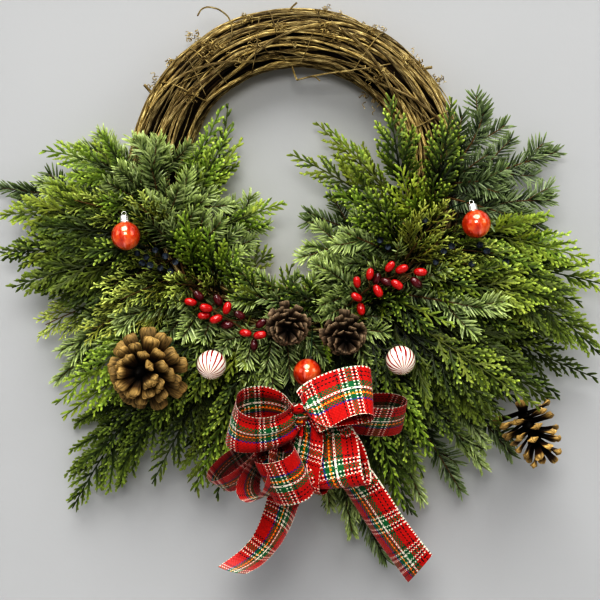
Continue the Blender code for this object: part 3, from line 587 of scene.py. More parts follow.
def greens(name, fronds, seed, berries=()):
    """The fronds of one CAD spray, and those tucked in beside it, as one piece.

    A frond has a sort (kind, paint and settings), a root, a tip, a bend, half its width
    and its bare share. Berries are given as the photograph shows them.
    """
    rng = np.random.default_rng(1000 + seed)
    draft = Draft()
    paints = list(dict.fromkeys(frond[0][1] for frond in fronds))
    for (kind, paint, more), root, tip, bend, half, bare in fronds:
        stem = stem_of(root, tip, bend, np.clip(rng.normal(0.5, 0.12), 0.2, 0.8))
        DRAWN[kind](draft, stem, rng, half, bare, paints.index(paint), len(paints), **more)
    for across, down, depth in berries:
        centre = seen(across, down, depth)
        OBSTACLES.append((centre, 0.0045))
        way = unit(FRONT + rng.normal(0, 0.5, 3))
        lathe(draft, centre, way, sphere(0.0037 * rng.uniform(0.85, 1.1), 11), 14, len(paints) + 1, tone=0.5,
              vary=rng.uniform(0.1, 0.9))
        walk = np.linspace(0, 1, 5)[:, None]
        stalk = centre - way * 0.0035 + (DOWN * 0.004 - FRONT * 0.014) * walk + way * 0.001 * walk
        rod(draft, stalk, 0.0006, 4, 0.3, len(paints))
    draft.piece(name + "_greens", paints + [TWIG] + ([BERRY] if berries else []), name, tuck)


# The ring of vines


def ring():
    rng = np.random.default_rng(7)
    draft = Draft()

    def lay(count, steps, shares, radii, sides, slot, spans, twist, wander):
        start = rng.uniform(0, 360, count)[:, None]
        span = rng.uniform(*spans, count)[:, None]
        walk = np.linspace(0, 1, steps)[None]
        around = start + span * walk
        turns = rng.uniform(*twist, count)[:, None] * rng.choice((-1, 1), count)[:, None]
        phase = rng.uniform(0, math.tau, (4, count, 1))

        def wave(times, number):
            return np.sin(np.radians(around) * times + phase[number])

        across = (360 / count * (np.arange(count) * 0.618 * count + rng.uniform(0, 1, count)))[:, None]
        across = across + turns * (around - start) + wander * (wave(3, 0) + 0.6 * wave(7, 1))
        share = rng.uniform(*shares, count)[:, None] + 0.05 * wave(4, 2) + 0.02 * wave(11, 3)
        ends = np.clip(np.minimum(walk, 1 - walk) * span / 14, 0, 1)
        share = share * (0.72 + 0.28 * ends)
        thick = rng.uniform(*radii, count)[:, None]
        thick = thick * (1 + 0.12 * wave(9, 1) + 0.10 * wave(31, 0))
        places = on_bundle(around, across, share=share)
        places[..., 1] = np.minimum(places[..., 1], -WALL_GAP - thick)
        vary = (rng.permutation(count) + 0.5) / count
        tubes(draft, places, thick, sides, np.broadcast_to(walk, thick.shape), vary, slot,
              grain=rng.uniform(0, 9, count))

    # The two inner layers take the second paint, painted near black as shade.
    lay(16, 50, (0.30, 0.62), (0.0050, 0.0075), 6, 1, (330, 400), (0.1, 0.6), 8)
    lay(34, 80, (0.62, 0.80), (0.0018, 0.0028), 6, 1, (240, 380), (0.1, 0.7), 8)
    lay(66, 96, (0.86, 1.02), (0.0012, 0.0025), 6, 0, (160, 380), (0.02, 0.32), 6)
    lay(62, 70, (0.90, 1.07), (0.0005, 0.0011), 4, 0, (50, 220), (0.1, 0.9), 12)

    def front(across, down, out=0.0):
        """A place on the front of the bundle, by a pixel of the photograph."""
        spot = seen(across, down, 0.05)
        for _ in range(3):
            aside = (math.hypot(spot[0], spot[2] - RING_CENTRE) - RING_RADIUS) / BUNDLE_WIDE
            spot = seen(across, down, BUNDLE_DEEP * math.sqrt(max(0.0, 1 - aside * aside)) - RING_DEPTH + out)
        return spot

    def loose(radius, *points):
        """A vine that leaves the bundle. Tuples are places as the photograph shows them."""
        points = [seen(*spot) if isinstance(spot, tuple) else spot for spot in points]
        count = 5 * len(points)
        rod(draft, smooth(points, count, 4), radius, 6, np.linspace(0, 1, count), grain=rng.uniform(0, 9, 1))

    def wrap(around_from, around_to, across_from, across_to, out, radius):
        share = np.linspace(0, 1, 9)
        lift = out * np.minimum(1.0, np.minimum(4 * share, 4 * (1 - share)))
        lift[[0, -1]] -= 0.006
        loose(radius, *on_bundle(around_from + (around_to - around_from) * share,
                                 across_from + (across_to - across_from) * share, lift))

    for values in ((158, 103, 35, 150, 0.0028, 0.0019), (128, 62, 150, 40, 0.0024, 0.0021),
                   (88, 30, 50, 140, 0.0028, 0.0020), (52, 8, 140, 45, 0.0026, 0.0018),
                   (131, 126, -20, 200, 0.0022, 0.0008), (58, 63, -20, 200, 0.0022, 0.0009),
                   (100, 97, 10, 150, 0.0020, 0.0009), (146, 140, 20, 170, 0.0018, 0.0009),
                   (24, 20, -10, 200, 0.0022, 0.0010)):
        wrap(*values)
    loose(0.0010, (222, 54, 0.050), (228, 46, 0.058), (232, 36, 0.060), (232, 25, 0.060), (228, 16, 0.058),
          (219, 9, 0.055), (208, 6.5, 0.052), (201, 9, 0.050), (197.5, 16, 0.050))
    loose(0.0007, (185, 54, 0.050), (190, 62, 0.061), (198, 78, 0.063), (206, 96, 0.058))
    loose(0.0007, (259, 18, 0.046), (258, 36, 0.060), (256, 52, 0.061), (252, 72, 0.050))
    loose(0.0006, (318, 12, 0.040), (314, 30, 0.060), (306, 52, 0.060), (300, 64, 0.050))
    loose(0.0010, (297, 80, 0.040), (312, 76, 0.046), (330, 73, 0.054), (362, 69, 0.060),
          front(386, 65, 0.002), front(396, 62, -0.004))
    loose(0.0008, (310, 76.5, 0.045), (316, 77, 0.046), (320, 81, 0.046))
    loose(0.0011, front(291, 60, -0.004), (293, 70, 0.030), (297, 80, 0.038))
    loose(0.0011, (289, 11, 0.036), (292, 7, 0.040), (297, 2.5, 0.042))
    loose(0.0009, *(front(*spot) for spot in (
        (258, 45, 0.002), (264, 47, 0.005), (268, 53, 0.002), (274, 52, 0.005), (279, 58, 0.003),
        (284, 58, 0.005), (288, 65, 0.002))))
    for around, across, far in ((151, 20, 0.013), (41, 20, 0.008)):
        loose(0.0018, *(on_bundle(around - step, across - 4 * step, out)
                        for step, out in enumerate((-0.010, 0.002, far))))

    # Curled tendrils and frayed bark
    spots = [(193, 37, 3, 10), (210, 47, 6, 30), (203, 56, 5, 12), (172, 62, 3, 10), (191, 95, 5, 16),
             (248, 21, 5, 12), (277, 27, 6, 14), (324, 29, 5, 26), (326, 13, 5, 14), (340, 36, 6, 12),
             (368, 31, 6, 14), (378, 76, 6, 20), (408, 58, 5, 14), (418, 66, 4, 10), (439, 81, 3, 8),
             (372, 99, 5, 10), (256, 44, 4, 12), (160, 84, 5, 8), (238, 60, 6, 8), (300, 44, 8, 8)]
    curls, thin = [], []
    for across, down, around, many in spots:
        for _ in range(many):
            base = front(across + rng.normal(0, around), down + rng.normal(0, around * 0.6), 0.001)
            way = unit(rng.normal(0, 1, 3) + FRONT * 0.5)
            other = unit(np.cross(way, rng.normal(0, 1, 3)))
            walk = np.linspace(0, 1, 18)[:, None]
            size, coil = rng.uniform(0.005, 0.011), rng.uniform(0.8, 2.4) * math.tau
            curl = base + way * walk * size + 0.0018 * (other * np.sin(coil * walk)
                                                       + np.cross(way, other) * (1 - np.cos(coil * walk)))
            curls.append(curl)
            thin.append(rng.uniform(0.0003, 0.0006))
    curls = np.array(curls)
    curls[..., 1] = np.minimum(curls[..., 1], -0.003)
    tubes(draft, curls, np.array(thin)[:, None] * np.ones((1, 18)), 3,
          np.broadcast_to(np.linspace(0, 1, 18), curls.shape[:2]), rng.uniform(0.85, 1.0, len(curls)), 0,
          grain=rng.uniform(0, 9, len(curls)))
    draft.piece("vine_bundle", [VINE, VINE_PAINTED_SHADE], "grapevine_ring")


# Cones, balls, hips and their wires


def basis(way):
    """Two directions square to a way."""
    way = unit(np.array(way, float))
    side = unit(np.cross(way, (0.0, 0.0, 1.0) if abs(way[2]) < 0.8 else (0.0, -1.0, 0.0)))
    return way, side, np.cross(way, side)


def circle(side, other, roll):
    """Ways square to an axis, by their angles about it."""
    return side * np.cos(roll)[:, None] + other * np.sin(roll)[:, None]


def sphere(radius, steps):
    """The profile of a ball."""
    lift = np.linspace(0, math.pi, steps)
    return np.stack([np.maximum(radius * np.sin(lift), 1e-5), -radius * np.cos(lift)], -1)


def lathe(draft, centre, way, profile, sides, slot=0, ripple=0.0, waves=0, tone=None, vary=0.5):
    """A turned form about an axis: profile holds (radius, height) pairs."""
    way, side, other = basis(way)
    profile = np.array(profile)
    roll = np.linspace(0, math.tau, sides + 1)
    radius = profile[:, :1] * (1 + ripple * np.cos(waves * roll))
    places = centre + way * profile[:, 1][:, None, None] + radius[..., None] * circle(side, other, roll)
    turn, height = np.broadcast_to(roll / math.tau, radius.shape), profile[:, 1:]
    if tone is None:
        up = (height - height.min()) / (height.max() - height.min())
        maps = np.stack([turn, np.broadcast_to(up, radius.shape)], -1)
    else:
        up = tone + 0.01 * np.arange(len(profile))[:, None] / len(profile)
        maps = np.stack([np.broadcast_to(up, radius.shape), vary + 0.008 * turn], -1)
    draft.add(places, grid_faces(len(profile), sides + 1), maps, slot)


def cone_paint(name, dark, middle, tip, places):
    paint = Paint(name, Roughness=0.68, Specular_IOR_Level=0.3)
    _, tone, vary = paint.map("OFBake")
    grain = paint.map("grain")[0]
    # Painted shade: the dark end of the tone, at the bases of the scales deep in the cone, stands for shade
    # as well as the scales' own darker wood.
    colour = paint.ramp(tone, (*zip(places, (dark, middle, tip)), (1.0, tuple(1.25 * c for c in tip))))
    streak = paint.noise(paint.stretched(grain, (500.0, 90.0, 1.0)), 1.0, 4.0, 0.6)
    colour = paint.mix(1.0, colour, paint.ramp(streak, ((0.34, 0.35), (0.5, 0.95), (0.66, 1.5))), "MULTIPLY")
    paint.bump(streak, 0.0009, 0.9)
    return paint.colour(paint.mix(1.0, colour, paint.ramp(vary, ((0.0, 0.7), (1.0, 1.25))), "MULTIPLY"))


def cone(name, base, tip, reach, scales_made, wide, thick, open_tip, paint, seed, blunt, lean_end,
         first=0.10, narrow=0.34, knob=0.7, hollow=0):
    """Woody scales on a golden spiral round a slim core, open wide at the base."""
    rng = np.random.default_rng(seed)
    draft = Draft()
    base, tip = np.array(base), np.array(tip)
    length = np.linalg.norm(tip - base)
    axis, side, other = basis(tip - base)
    core = [(0.0004, 0.0), (reach * 0.16, length * 0.02), (reach * 0.20, length * 0.3),
            (reach * 0.15, length * 0.7), (reach * 0.06, length * 0.86), (0.0003, length * 0.90)]
    # The core is painted in the darkest tone, as shade deep in the cone.
    lathe(draft, base, axis, core, 10, 0, tone=0.02)
    across = np.linspace(-1, 1, 7)
    up = np.array((0, 0.2, 0.42, 0.60, 0.74, 0.84, 0.92, 0.975, 1.0))
    outline = np.interp(up, (0, 0.2, 0.5, 0.80, 0.92, 0.975, 1.0),
                        (narrow, narrow + 0.06, 0.70, 1.0, 0.86 + 0.1 * blunt, 0.25 + 0.55 * blunt,
                         0.65 * blunt - 0.25))
    body = np.interp(up, (0, 0.5, 0.78, 0.92, 1.0), (0.35, 0.50, 0.95, 1.0, 0.45)) * thick
    rows = len(up)
    border = ([row * 7 for row in range(rows)] + [(rows - 1) * 7 + k for k in range(1, 7)]
              + [row * 7 + 6 for row in range(rows - 2, -1, -1)])
    for number in range(scales_made - hollow):
        place = (number + 0.5) / scales_made
        spin = number * GOLDEN_ANGLE + rng.normal(0, 0.07)
        lean = math.radians(4 + lean_end * place ** 1.3 + rng.normal(0, 3))
        radial = side * math.cos(spin) + other * math.sin(spin)
        ray = radial * math.cos(lean) + axis * math.sin(lean)
        back = unit(radial * math.sin(lean) - axis * math.cos(lean))
        width_way = unit(np.cross(ray, back) + back * rng.normal(0, 0.14))
        start = base + axis * length * (first + (0.82 - first) * place) + radial * reach * 0.08
        size = reach * 0.94 * (1.0 - (1 - open_tip) * place ** 1.1) * rng.uniform(0.94, 1.04)
        half = wide / 2 * (1.0 - 0.40 * place ** 1.5) * rng.uniform(0.88, 1.10)
        curve = 0.18 * (1 - place) + 0.06 * rng.normal()
        grid_u, grid_v = np.meshgrid(across, up)
        shape_w = outline[:, None]
        bumpy = thick * 0.12 * rng.normal(0, 1, 7) * np.clip((grid_v - 0.5) * 2, 0, 1)
        cup = -0.20 * half * grid_u ** 2 * shape_w
        spine = start + ray * (grid_v * size)[..., None] + back * (curve * size * grid_v ** 2)[..., None]
        spine = spine + width_way * (grid_u * shape_w * half)[..., None] + ray * bumpy[..., None]
        edge = np.sqrt(np.clip(1 - grid_u ** 2, 0, 1)) * 0.70 + 0.30
        umbo = np.exp(-((grid_v - 0.90) / 0.08) ** 2 - (grid_u / 0.4) ** 2) * thick * knob
        top = spine - back * (cup + body[:, None] * edge * 0.5 + umbo * 0.5)[..., None]
        under = spine + back * (body[:, None] * edge * 0.5 + umbo - cup)[..., None]
        faces = grid_faces(rows, 7)
        tone = np.clip(grid_v + 0.05 * np.abs(grid_u) ** 3, 0, 1)
        vary = np.full_like(tone, rng.uniform(0.05, 0.9)) + across * 0.006
        grains = np.stack([grid_u * half + number * 0.1, grid_v * size + number * 0.37], -1)
        draft.add(top, faces[:, ::-1], np.stack([tone, vary], -1), 0, grains)
        draft.add(under, faces, np.stack([np.clip(tone + 0.03, 0, 1), vary], -1), 0, grains)
        strip_of = np.stack([top.reshape(-1, 3)[border], under.reshape(-1, 3)[border]], 1)
        tones = np.clip(np.stack([tone.ravel()[border]] * 2, 1) + 0.10, 0, 1)
        maps = np.stack([tones, np.stack([vary.ravel()[border]] * 2, 1) + (-0.004, 0.004)], -1)
        draft.add(strip_of, grid_faces(len(border), 2), maps, 0,
                  np.stack([grains.reshape(-1, 2)[border]] * 2, 1))
    draft.piece(name + "_scales", [paint], name)


CONE_TAN = cone_paint("cone_tan", (0.005, 0.003, 0.001), (0.050, 0.026, 0.008), (0.285, 0.195, 0.076),
                      (0.26, 0.64, 0.95))
CONE_BROWN = cone_paint("cone_brown", (0.005, 0.003, 0.001), (0.042, 0.019, 0.008), (0.36, 0.245, 0.092),
                        (0.3, 0.74, 0.93))
CONE_GREY = cone_paint("cone_grey", (0.008, 0.004, 0.002), (0.050, 0.031, 0.018), (0.23, 0.170, 0.110),
                       (0.25, 0.80, 0.98))


def ball_paint_orange():
    """Fired orange glass with a pearly film that drifts to gold and pink."""
    paint = Paint("orange_glass", Roughness=0.20, Metallic=0.25, Coat_Weight=1.0, Coat_Roughness=0.05,
                  Specular_IOR_Level=0.6)
    _, around, up = paint.map("OFBake")
    drift = paint.noise(paint.closed(around, up, 1.5, 2.2), 1.0, 3.0)
    film = paint.noise(paint.closed(around, up, 2.6, 3.4), 1.3, 2.0)
    colour = paint.ramp(drift, ((0.30, (0.30, 0.020, 0.006)), (0.48, (0.62, 0.060, 0.010)),
                                (0.64, (0.80, 0.16, 0.03)), (0.80, (0.92, 0.46, 0.16))))
    colour = paint.mix(paint.ramp(film, ((0.52, 0.0), (0.74, 0.45))), colour, (0.90, 0.38, 0.34))
    paint.bump(drift, 0.0003, 0.3)
    return paint.colour(colour)


def ball_paint_striped():
    """White glass with uneven red lines from pole to pole."""
    paint = Paint("striped_glass", Roughness=0.20, Coat_Weight=0.8, Coat_Roughness=0.08)
    _, around, up = paint.map("OFBake")
    wobble = paint.noise(paint.closed(around, up, 2.4, 1.6), 1.0, 2.0)
    turn = paint.sum("ADD", paint.sum("MULTIPLY", around, 18.0), paint.sum("MULTIPLY", wobble, 0.9))
    centre = paint.sum("ABSOLUTE", paint.sum("SUBTRACT", paint.sum("FRACT", turn), 0.5))
    width = paint.sum("ADD", paint.sum("MULTIPLY", paint.noise(paint.closed(around, up, 5.0, 1.0), 1.0),
                                       0.30), 0.010)
    line = paint.sum("LESS_THAN", centre, width)
    cream = paint.ramp(wobble, ((0.3, (0.84, 0.74, 0.60)), (0.7, (0.92, 0.88, 0.80))))
    return paint.colour(paint.mix(line, cream, (0.30, 0.010, 0.018)))


def speckled_paint(name, scale, colours, bump, rough=None, **values):
    """A finish that varies in fine specks, by stops of its colours and of its roughness."""
    paint = Paint(name, **values)
    speck = paint.noise(paint.node("TexCoord").outputs["Object"], scale)
    if rough:
        paint.set(paint.shader, "Roughness", paint.ramp(speck, rough))
    paint.bump(speck, *bump)
    return paint.colour(paint.ramp(speck, colours))


METAL = speckled_paint("cap_metal", 900.0, ((0.3, (0.62, 0.60, 0.57)), (0.7, (0.88, 0.87, 0.85))),
                       (0.0001, 0.4), ((0.3, 0.18), (0.7, 0.42)), Roughness=0.28, Metallic=1.0)
WIRE = speckled_paint("florist_wire", 400.0, ((0.3, (0.012, 0.035, 0.014)), (0.7, (0.04, 0.09, 0.04))),
                      (0.0001, 0.5), Roughness=0.4, Metallic=0.2)
BERRY = speckled_paint("juniper_berry", 260.0, ((0.40, (0.006, 0.008, 0.013)), (0.70, (0.060, 0.080, 0.105))),
                       (0.0002, 0.3), ((0.35, 0.35), (0.65, 0.75)), Roughness=0.55, Specular_IOR_Level=0.3)
BALLS = {"orange": (0.0163, ball_paint_orange(), "orange_glass"),
         "striped": (0.0168, ball_paint_striped(), "striped_glass")}


def ball(name, centre, cap_way, anchor):
    """A blown ball, its crimped cap and loop, and the wire that holds it."""
    radius, paint, slot = BALLS[name.split("_")[0]]
    centre, cap_way, anchor = np.array(centre), unit(np.array(cap_way)), in_bundle(*anchor)
    draft = Draft()
    lathe(draft, centre, cap_way, sphere(radius, 37), 56)
    draft.piece(name + "_glass", [paint], name)
    cap = Draft()
    top = radius - 0.0004
    profile = [(0.0050, top - 0.0008), (0.0056, top - 0.0002), (0.0052, top + 0.0012), (0.0050, top + 0.0062),
               (0.0046, top + 0.0074), (0.0030, top + 0.0078), (0.0001, top + 0.0079)]
    lathe(cap, centre, cap_way, profile, 48, 0, ripple=0.045, waves=12, tone=0.5)
    way, side, _ = basis(cap_way)
    turn = np.linspace(0, math.tau, 22)[:, None]
    ring_path = centre + way * (top + 0.0098) + 0.0024 * (way * np.cos(turn) + side * np.sin(turn))
    rod(cap, ring_path, 0.0005, 6, 0.5)
    rise = centre + cap_way * (radius + 0.0118)
    middle = (rise + anchor) / 2
    share = np.linspace(0, 1, 14)[:, None]
    path = (rise * (1 - share) + middle * share) * (1 - share)
    path = path + (middle * (1 - share) + anchor * share) * share
    rod(cap, path, 0.0007, 6, 0.5, 1)
    cap.piece(name + "_cap", [METAL, WIRE], name + "_pick")
    OBSTACLES.append((centre, radius + 0.0015))


def hip_paint():
    paint = Paint("rose_hips", Roughness=0.25, Coat_Weight=0.4, Coat_Roughness=0.1, Specular_IOR_Level=0.5)
    _, tone, vary = paint.map("OFBake")
    skin = paint.ramp(tone, ((0.0, (0.16, 0.02, 0.012)), (0.15, (0.38, 0.008, 0.008)),
                             (0.75, (0.48, 0.010, 0.009)), (0.93, (0.20, 0.012, 0.012)),
                             (1.0, (0.03, 0.012, 0.008))))
    dark = paint.ramp(tone, ((0.0, (0.05, 0.008, 0.008)), (0.5, (0.11, 0.008, 0.014)),
                             (1.0, (0.02, 0.008, 0.006))))
    return paint.colour(paint.mix(paint.ramp(vary, ((0.45, 0.0), (0.55, 1.0))), skin, dark))


HIPS = hip_paint()


def hips(name, root, stem, fruits):
    """A dark stem from its root in the bundle, and side stalks with an oval hip and a dry calyx.

    A hip has its place in the photograph, its depth, whether it is dark and its way, in degrees.
    """
    draft = Draft()
    path = smooth([in_bundle(*root)] + [seen(*spot) for spot in stem], 40, 6)
    rod(draft, path, np.linspace(0.0014, 0.0009, 40), 6, 0.3, 1)
    rng = np.random.default_rng(len(name))
    for across, down, depth, dark, angle in fruits:
        centre = seen(across, down, depth)
        near = np.linalg.norm(path - centre, axis=1).argmin()
        spot = path[max(0, near - 3)]
        angle = math.radians(angle)
        way, side, other = basis((math.cos(angle), rng.normal(-0.15, 0.12), math.sin(angle)))
        size = rng.uniform(1.02, 1.16)
        base = centre - way * 0.0064 * size
        walk = np.linspace(0, 1, 6)[:, None]
        stalk = spot + (base - spot) * walk + (DOWN * 0.0015 - way * 0.0025) * np.sin(math.pi * walk)
        rod(draft, stalk, 0.0008, 5, 0.3, 1)
        lift = np.linspace(0, math.pi, 17)
        radius = np.maximum(0.0043 * size * np.sin(lift) ** 0.85, 2e-5)
        height = -0.0069 * size * np.cos(lift)
        roll = np.linspace(0, math.tau, 19)
        places = centre + way * height[:, None, None] + radius[:, None, None] * circle(side, other, roll)
        tone = np.broadcast_to((lift / math.pi)[:, None], (17, 19))
        vary = (0.8 if dark else 0.2) + 0.05 * roll / math.tau + 0 * tone
        draft.add(places, grid_faces(17, 19), np.stack([tone, vary], -1), 0)
        ways = unit(way + 0.7 * circle(side, other, np.arange(6) * math.tau / 6))
        sepals = Shoots(np.repeat((centre + way * 0.0066 * size)[None], 6, 0), ways, ways * 0,
                        np.full(6, 0.0026), np.cross(ways, way) + 0.01, 0.3, 0.5, 0.5)
        blades(draft, sepals, np.array((0, 0.5, 1)), np.array((1.0, 0.8, 0)), 0.0006, 0.3, 1)
        OBSTACLES.append((centre, 0.0066))
    draft.piece(name + "_fruit", [HIPS, TWIG], name)


# The bow


def tartan_paint():
    """Red tartan: stripes along the ribbon and across it, woven as coarse threads."""
    paint = Paint("tartan_ribbon", Roughness=0.6, Sheen_Weight=0.2, Sheen_Roughness=0.4,
                  Specular_IOR_Level=0.25)
    place, across, along = paint.map("grain")
    red, green, white = (0.46, 0.011, 0.008), (0.008, 0.14, 0.045), (0.78, 0.72, 0.60)
    black, navy, orange = (0.008, 0.008, 0.010), (0.02, 0.035, 0.26), (0.90, 0.33, 0.03)
    warp = paint.ramp(across, (
        (0.0, white), (0.028, red), (0.11, black), (0.135, red), (0.20, black), (0.225, red), (0.31, green),
        (0.43, white), (0.48, black), (0.50, green), (0.54, orange), (0.58, green), (0.665, navy),
        (0.70, red), (0.985, white)), step=True)
    cycle = paint.sum("FRACT", paint.sum("MULTIPLY", along, 1 / 0.048))
    weft = paint.ramp(cycle, (
        (0.0, red), (0.34, black), (0.39, red), (0.43, white), (0.48, black), (0.53, white), (0.58, green),
        (0.70, white), (0.75, black), (0.80, white), (0.85, red), (0.90, black), (0.94, red)), step=True)
    threads = [paint.sum("SINE", paint.sum("MULTIPLY", value, math.pi / 0.0021))
               for value in (paint.sum("MULTIPLY", across, RIBBON), along)]
    checks = paint.sum("MULTIPLY", *threads)
    over = paint.sum("GREATER_THAN", checks, 0.10)
    colour = paint.mix(over, warp, weft)
    paint.bump(checks, 0.0003, 0.7)
    worn = paint.noise(paint.stretched(place, (20.0, 300.0, 1.0)), 1.0, 3.0)
    colour = paint.mix(1.0, colour, paint.ramp(worn, ((0.3, 0.78), (0.7, 1.15))), "MULTIPLY")
    return paint.colour(colour)


TARTAN = tartan_paint()
STRIPS = 10


def strip(draft, number, centre, way, half, curl, start, pleat, slant=0.0):
    """A ribbon about a centre line, cupped by curl, with pleats where it is gathered.

    Slant is how far its end is cut across, as a share of its width.
    """
    steps, columns = len(centre), 11
    across = np.linspace(-1, 1, columns)
    ahead = unit(np.gradient(centre, axis=0))
    way = unit(way - ahead * (way * ahead).sum(-1, keepdims=True))
    out = np.cross(ahead, way)
    bow = np.maximum(np.abs(curl), 1e-3)[:, None]
    flat = np.sin(bow * across) / bow
    deep = (1 - np.cos(bow * across)) / bow * np.sign(curl)[:, None]
    deep = deep + pleat[:, None] * np.sin(across * 2.5 * math.pi)
    places = centre[:, None] + way[:, None] * (half[:, None] * flat)[..., None] + out[:, None] * (
        half[:, None] * deep)[..., None]
    cut = np.clip((np.arange(steps) / (steps - 1) - 0.8) / 0.2, 0, 1)
    places = places + ahead[:, None] * (slant * (cut * half)[:, None] * across)[..., None]
    walk = start + np.cumsum(np.linalg.norm(np.diff(centre, axis=0, prepend=centre[:1]), axis=1))
    grains = np.stack([np.broadcast_to((across + 1) / 2, (steps, columns)),
                       np.broadcast_to(walk[:, None], (steps, columns))], -1)
    maps = np.stack([np.broadcast_to(((walk - start) / 0.45)[:, None], (steps, columns)),
                     (number + 0.04 + 0.92 * grains[..., 0]) / STRIPS], -1)
    draft.add(places, grid_faces(steps, columns), maps, 0, grains)
    return walk[-1] - start


def loop(draft, number, end, opening, way, pinch, start, origin=None, near_way=None, arch=(0, 0, 0),
         belly=1.0, swell=3.6, closed=0.0, even=False):
    """A loop from the knot, or an origin, out to its end and back, placed as the photograph shows.

    Pinch gives the share of the ribbon's width at the knot, as it leaves and as it returns.
    Belly sets how far out the loop is widest, and swell how soon it is at full width.
    Closed is the share of the way out where its two sides still lie together, and even
    makes it widen evenly.
    """
    origin = KNOT if origin is None else seen(*origin)
    end, way = seen(*end), unit(np.array(way, float))
    near_way = way if near_way is None else unit(np.array(near_way, float))
    reach = end - origin
    spread = unit(np.cross(reach, way - unit(reach) * (way @ unit(reach)) * 0.6))
    share = np.linspace(0, 1, 44)
    angle = math.tau * share
    out = (1 - np.cos(angle)) / 2
    free = np.clip((out - closed) / (1 - closed), 0, 1)
    rise = np.sign(0.5 - share) * 2 * np.sqrt(free * (1 - free)) * (0.04 + 0.96 * out) ** belly
    rise = -rise / rise.max() * opening / 2
    centre = origin + reach * (0.05 + 0.95 * out)[:, None] + spread * (rise + 0.003 * (0.5 - share))[:, None]
    centre = centre + np.array(arch) * np.sin(math.pi * out)[:, None]
    near = np.clip(np.minimum(share, 1 - share) * swell, 0, 1)
    least = np.where(share < 0.5, pinch[0], pinch[1])
    gather = least + (1 - least) * (near if even else np.sin(near * math.pi / 2))
    ways = near_way * (1 - out)[:, None] + way * out[:, None]
    return strip(draft, number, centre, ways, RIBBON / 2 * gather, 0.22 * (1 - near) + 0.05, start,
                 0.32 * (1 - near) * (1.1 - least))


def bow():
    draft = Draft()
    total = 0.0
    total += loop(draft, 0, (230, 421, 0.134), 0.056, (-0.24, 0.50, -0.83), (0.62, 0.55), 0.010, belly=0.15,
                  origin=(307, 418, 0.132), near_way=(0.38, 0.42, -0.82), swell=2.0, closed=0.10, even=True)
    total += loop(draft, 1, (373, 393, 0.130), 0.024, (0.0, -0.61, -0.79), (0.82, 0.25), 0.022,
                  origin=(302, 411, 0.137), near_way=(0.58, -0.50, -0.65), arch=(0, 0, 0.004), swell=6.0)
    total += loop(draft, 2, (405, 415, 0.106), 0.022, (0.0, 0.78, -0.62), (0.30, 0.30), 0.000)
    total += loop(draft, 3, (343, 488, 0.134), 0.028, (-0.90, 0.42, -0.17), (0.70, 0.40), 0.030,
                  origin=(329, 424, 0.118), near_way=(-0.95, 0.10, -0.12))
    total += loop(draft, 4, (216, 485, 0.122), 0.025, (-0.24, -0.90, 0.38), (0.40, 0.40), 0.014, belly=0.6,
                  origin=(296, 424, 0.100))
    total += loop(draft, 5, (255, 498, 0.128), 0.030, (-0.36, -0.92, 0.06), (0.30, 0.30), 0.040, belly=0.9,
                  origin=(288, 424, 0.104))
    total += loop(draft, 6, (280, 485, 0.145), 0.052, (-0.36, -0.42, 0.83), (0.50, 0.50), 0.005,
                  origin=(290, 455, 0.106), belly=0.3, swell=6.0)
    total += loop(draft, 7, (303, 492, 0.104), 0.024, (0.75, -0.65, 0.05), (0.30, 0.30), 0.020)

    def tail(number, spots, ways, half, curls, start, slant):
        """A tail from the knot. Half gives shares of half the ribbon's width."""
        points = [KNOT] + [seen(*spot) for spot in spots]
        knots, fine = np.linspace(0, 1, len(points)), np.linspace(0, 1, 46)
        near = np.clip(fine * 3.2, 0, 1)
        wide = np.interp(fine, knots, RIBBON / 2 * np.array(half)) * (0.25 + 0.75 * near)
        return strip(draft, number, smooth(points, 46, 14), smooth(ways, 46, 0), wide,
                     np.interp(fine, knots, curls), start, 0.3 * (1 - near), slant)

    total += tail(8, [(294, 462, 0.104), (290, 498, 0.096), (281, 527, 0.096), (267, 549, 0.100),
                      (250, 564, 0.114), (232, 572, 0.138)],
                  [(-0.9, 0.4, -0.1), (-0.85, 0.5, -0.1), (-0.60, 0.78, 0.02), (-0.56, 0.82, 0.02),
                   (-0.56, 0.80, 0.02), (-0.62, 0.74, 0.00), (-0.75, 0.66, 0.0)],
                  [1, 1, 1, 1, 0.90, 0.82, 0.68], [-0.6, -0.6, -0.6, -0.6, -0.5, -0.4, -0.2], 0.0, 0.0)
    total += tail(9, [(333, 462, 0.112), (355, 486, 0.108), (387, 535, 0.106), (417, 573, 0.108)],
                  [(-0.8, 0.5, -0.3), (-0.6, 0.6, -0.5), (-0.54, 0.66, -0.48), (-0.54, 0.66, -0.50),
                   (-0.54, 0.66, -0.52)],
                  [1, 1, 0.98, 0.98, 1], [0.8, 0.8, 0.7, 0.6, 0.5], 0.02, 0.30)

    # The knot: one turn of the same ribbon, folded narrow
    turn = np.linspace(-0.35 * math.pi, 1.35 * math.pi, 26)
    centre = KNOT + np.stack([np.cos(turn) * 0.0085 - 0.003, 0.004 - np.sin(turn) * 0.0110, 0 * turn], -1)
    ways = np.repeat(np.array([[0.15, 0.0, 1.0]]), 26, 0)
    strip(draft, 9, centre, ways, np.full(26, 0.012), np.full(26, 0.5), 0.03, pleat=np.full(26, 0.10))
    made = draft.piece("tartan_bow", [TARTAN], "ribbon_bow")
    for spot in ((231, 417), (260, 425), (290, 420), (330, 400), (360, 392), (335, 445), (342, 475),
                 (225, 480), (252, 490), (285, 480), (305, 480), (390, 418)):
        OBSTACLES.append((seen(*spot, 0.124), 0.020))
    for spot in ((286, 508), (272, 542), (250, 566), (357, 490), (391, 533), (408, 553)):
        OBSTACLES.append((seen(*spot, 0.104), 0.014))


# All the pieces

ring()

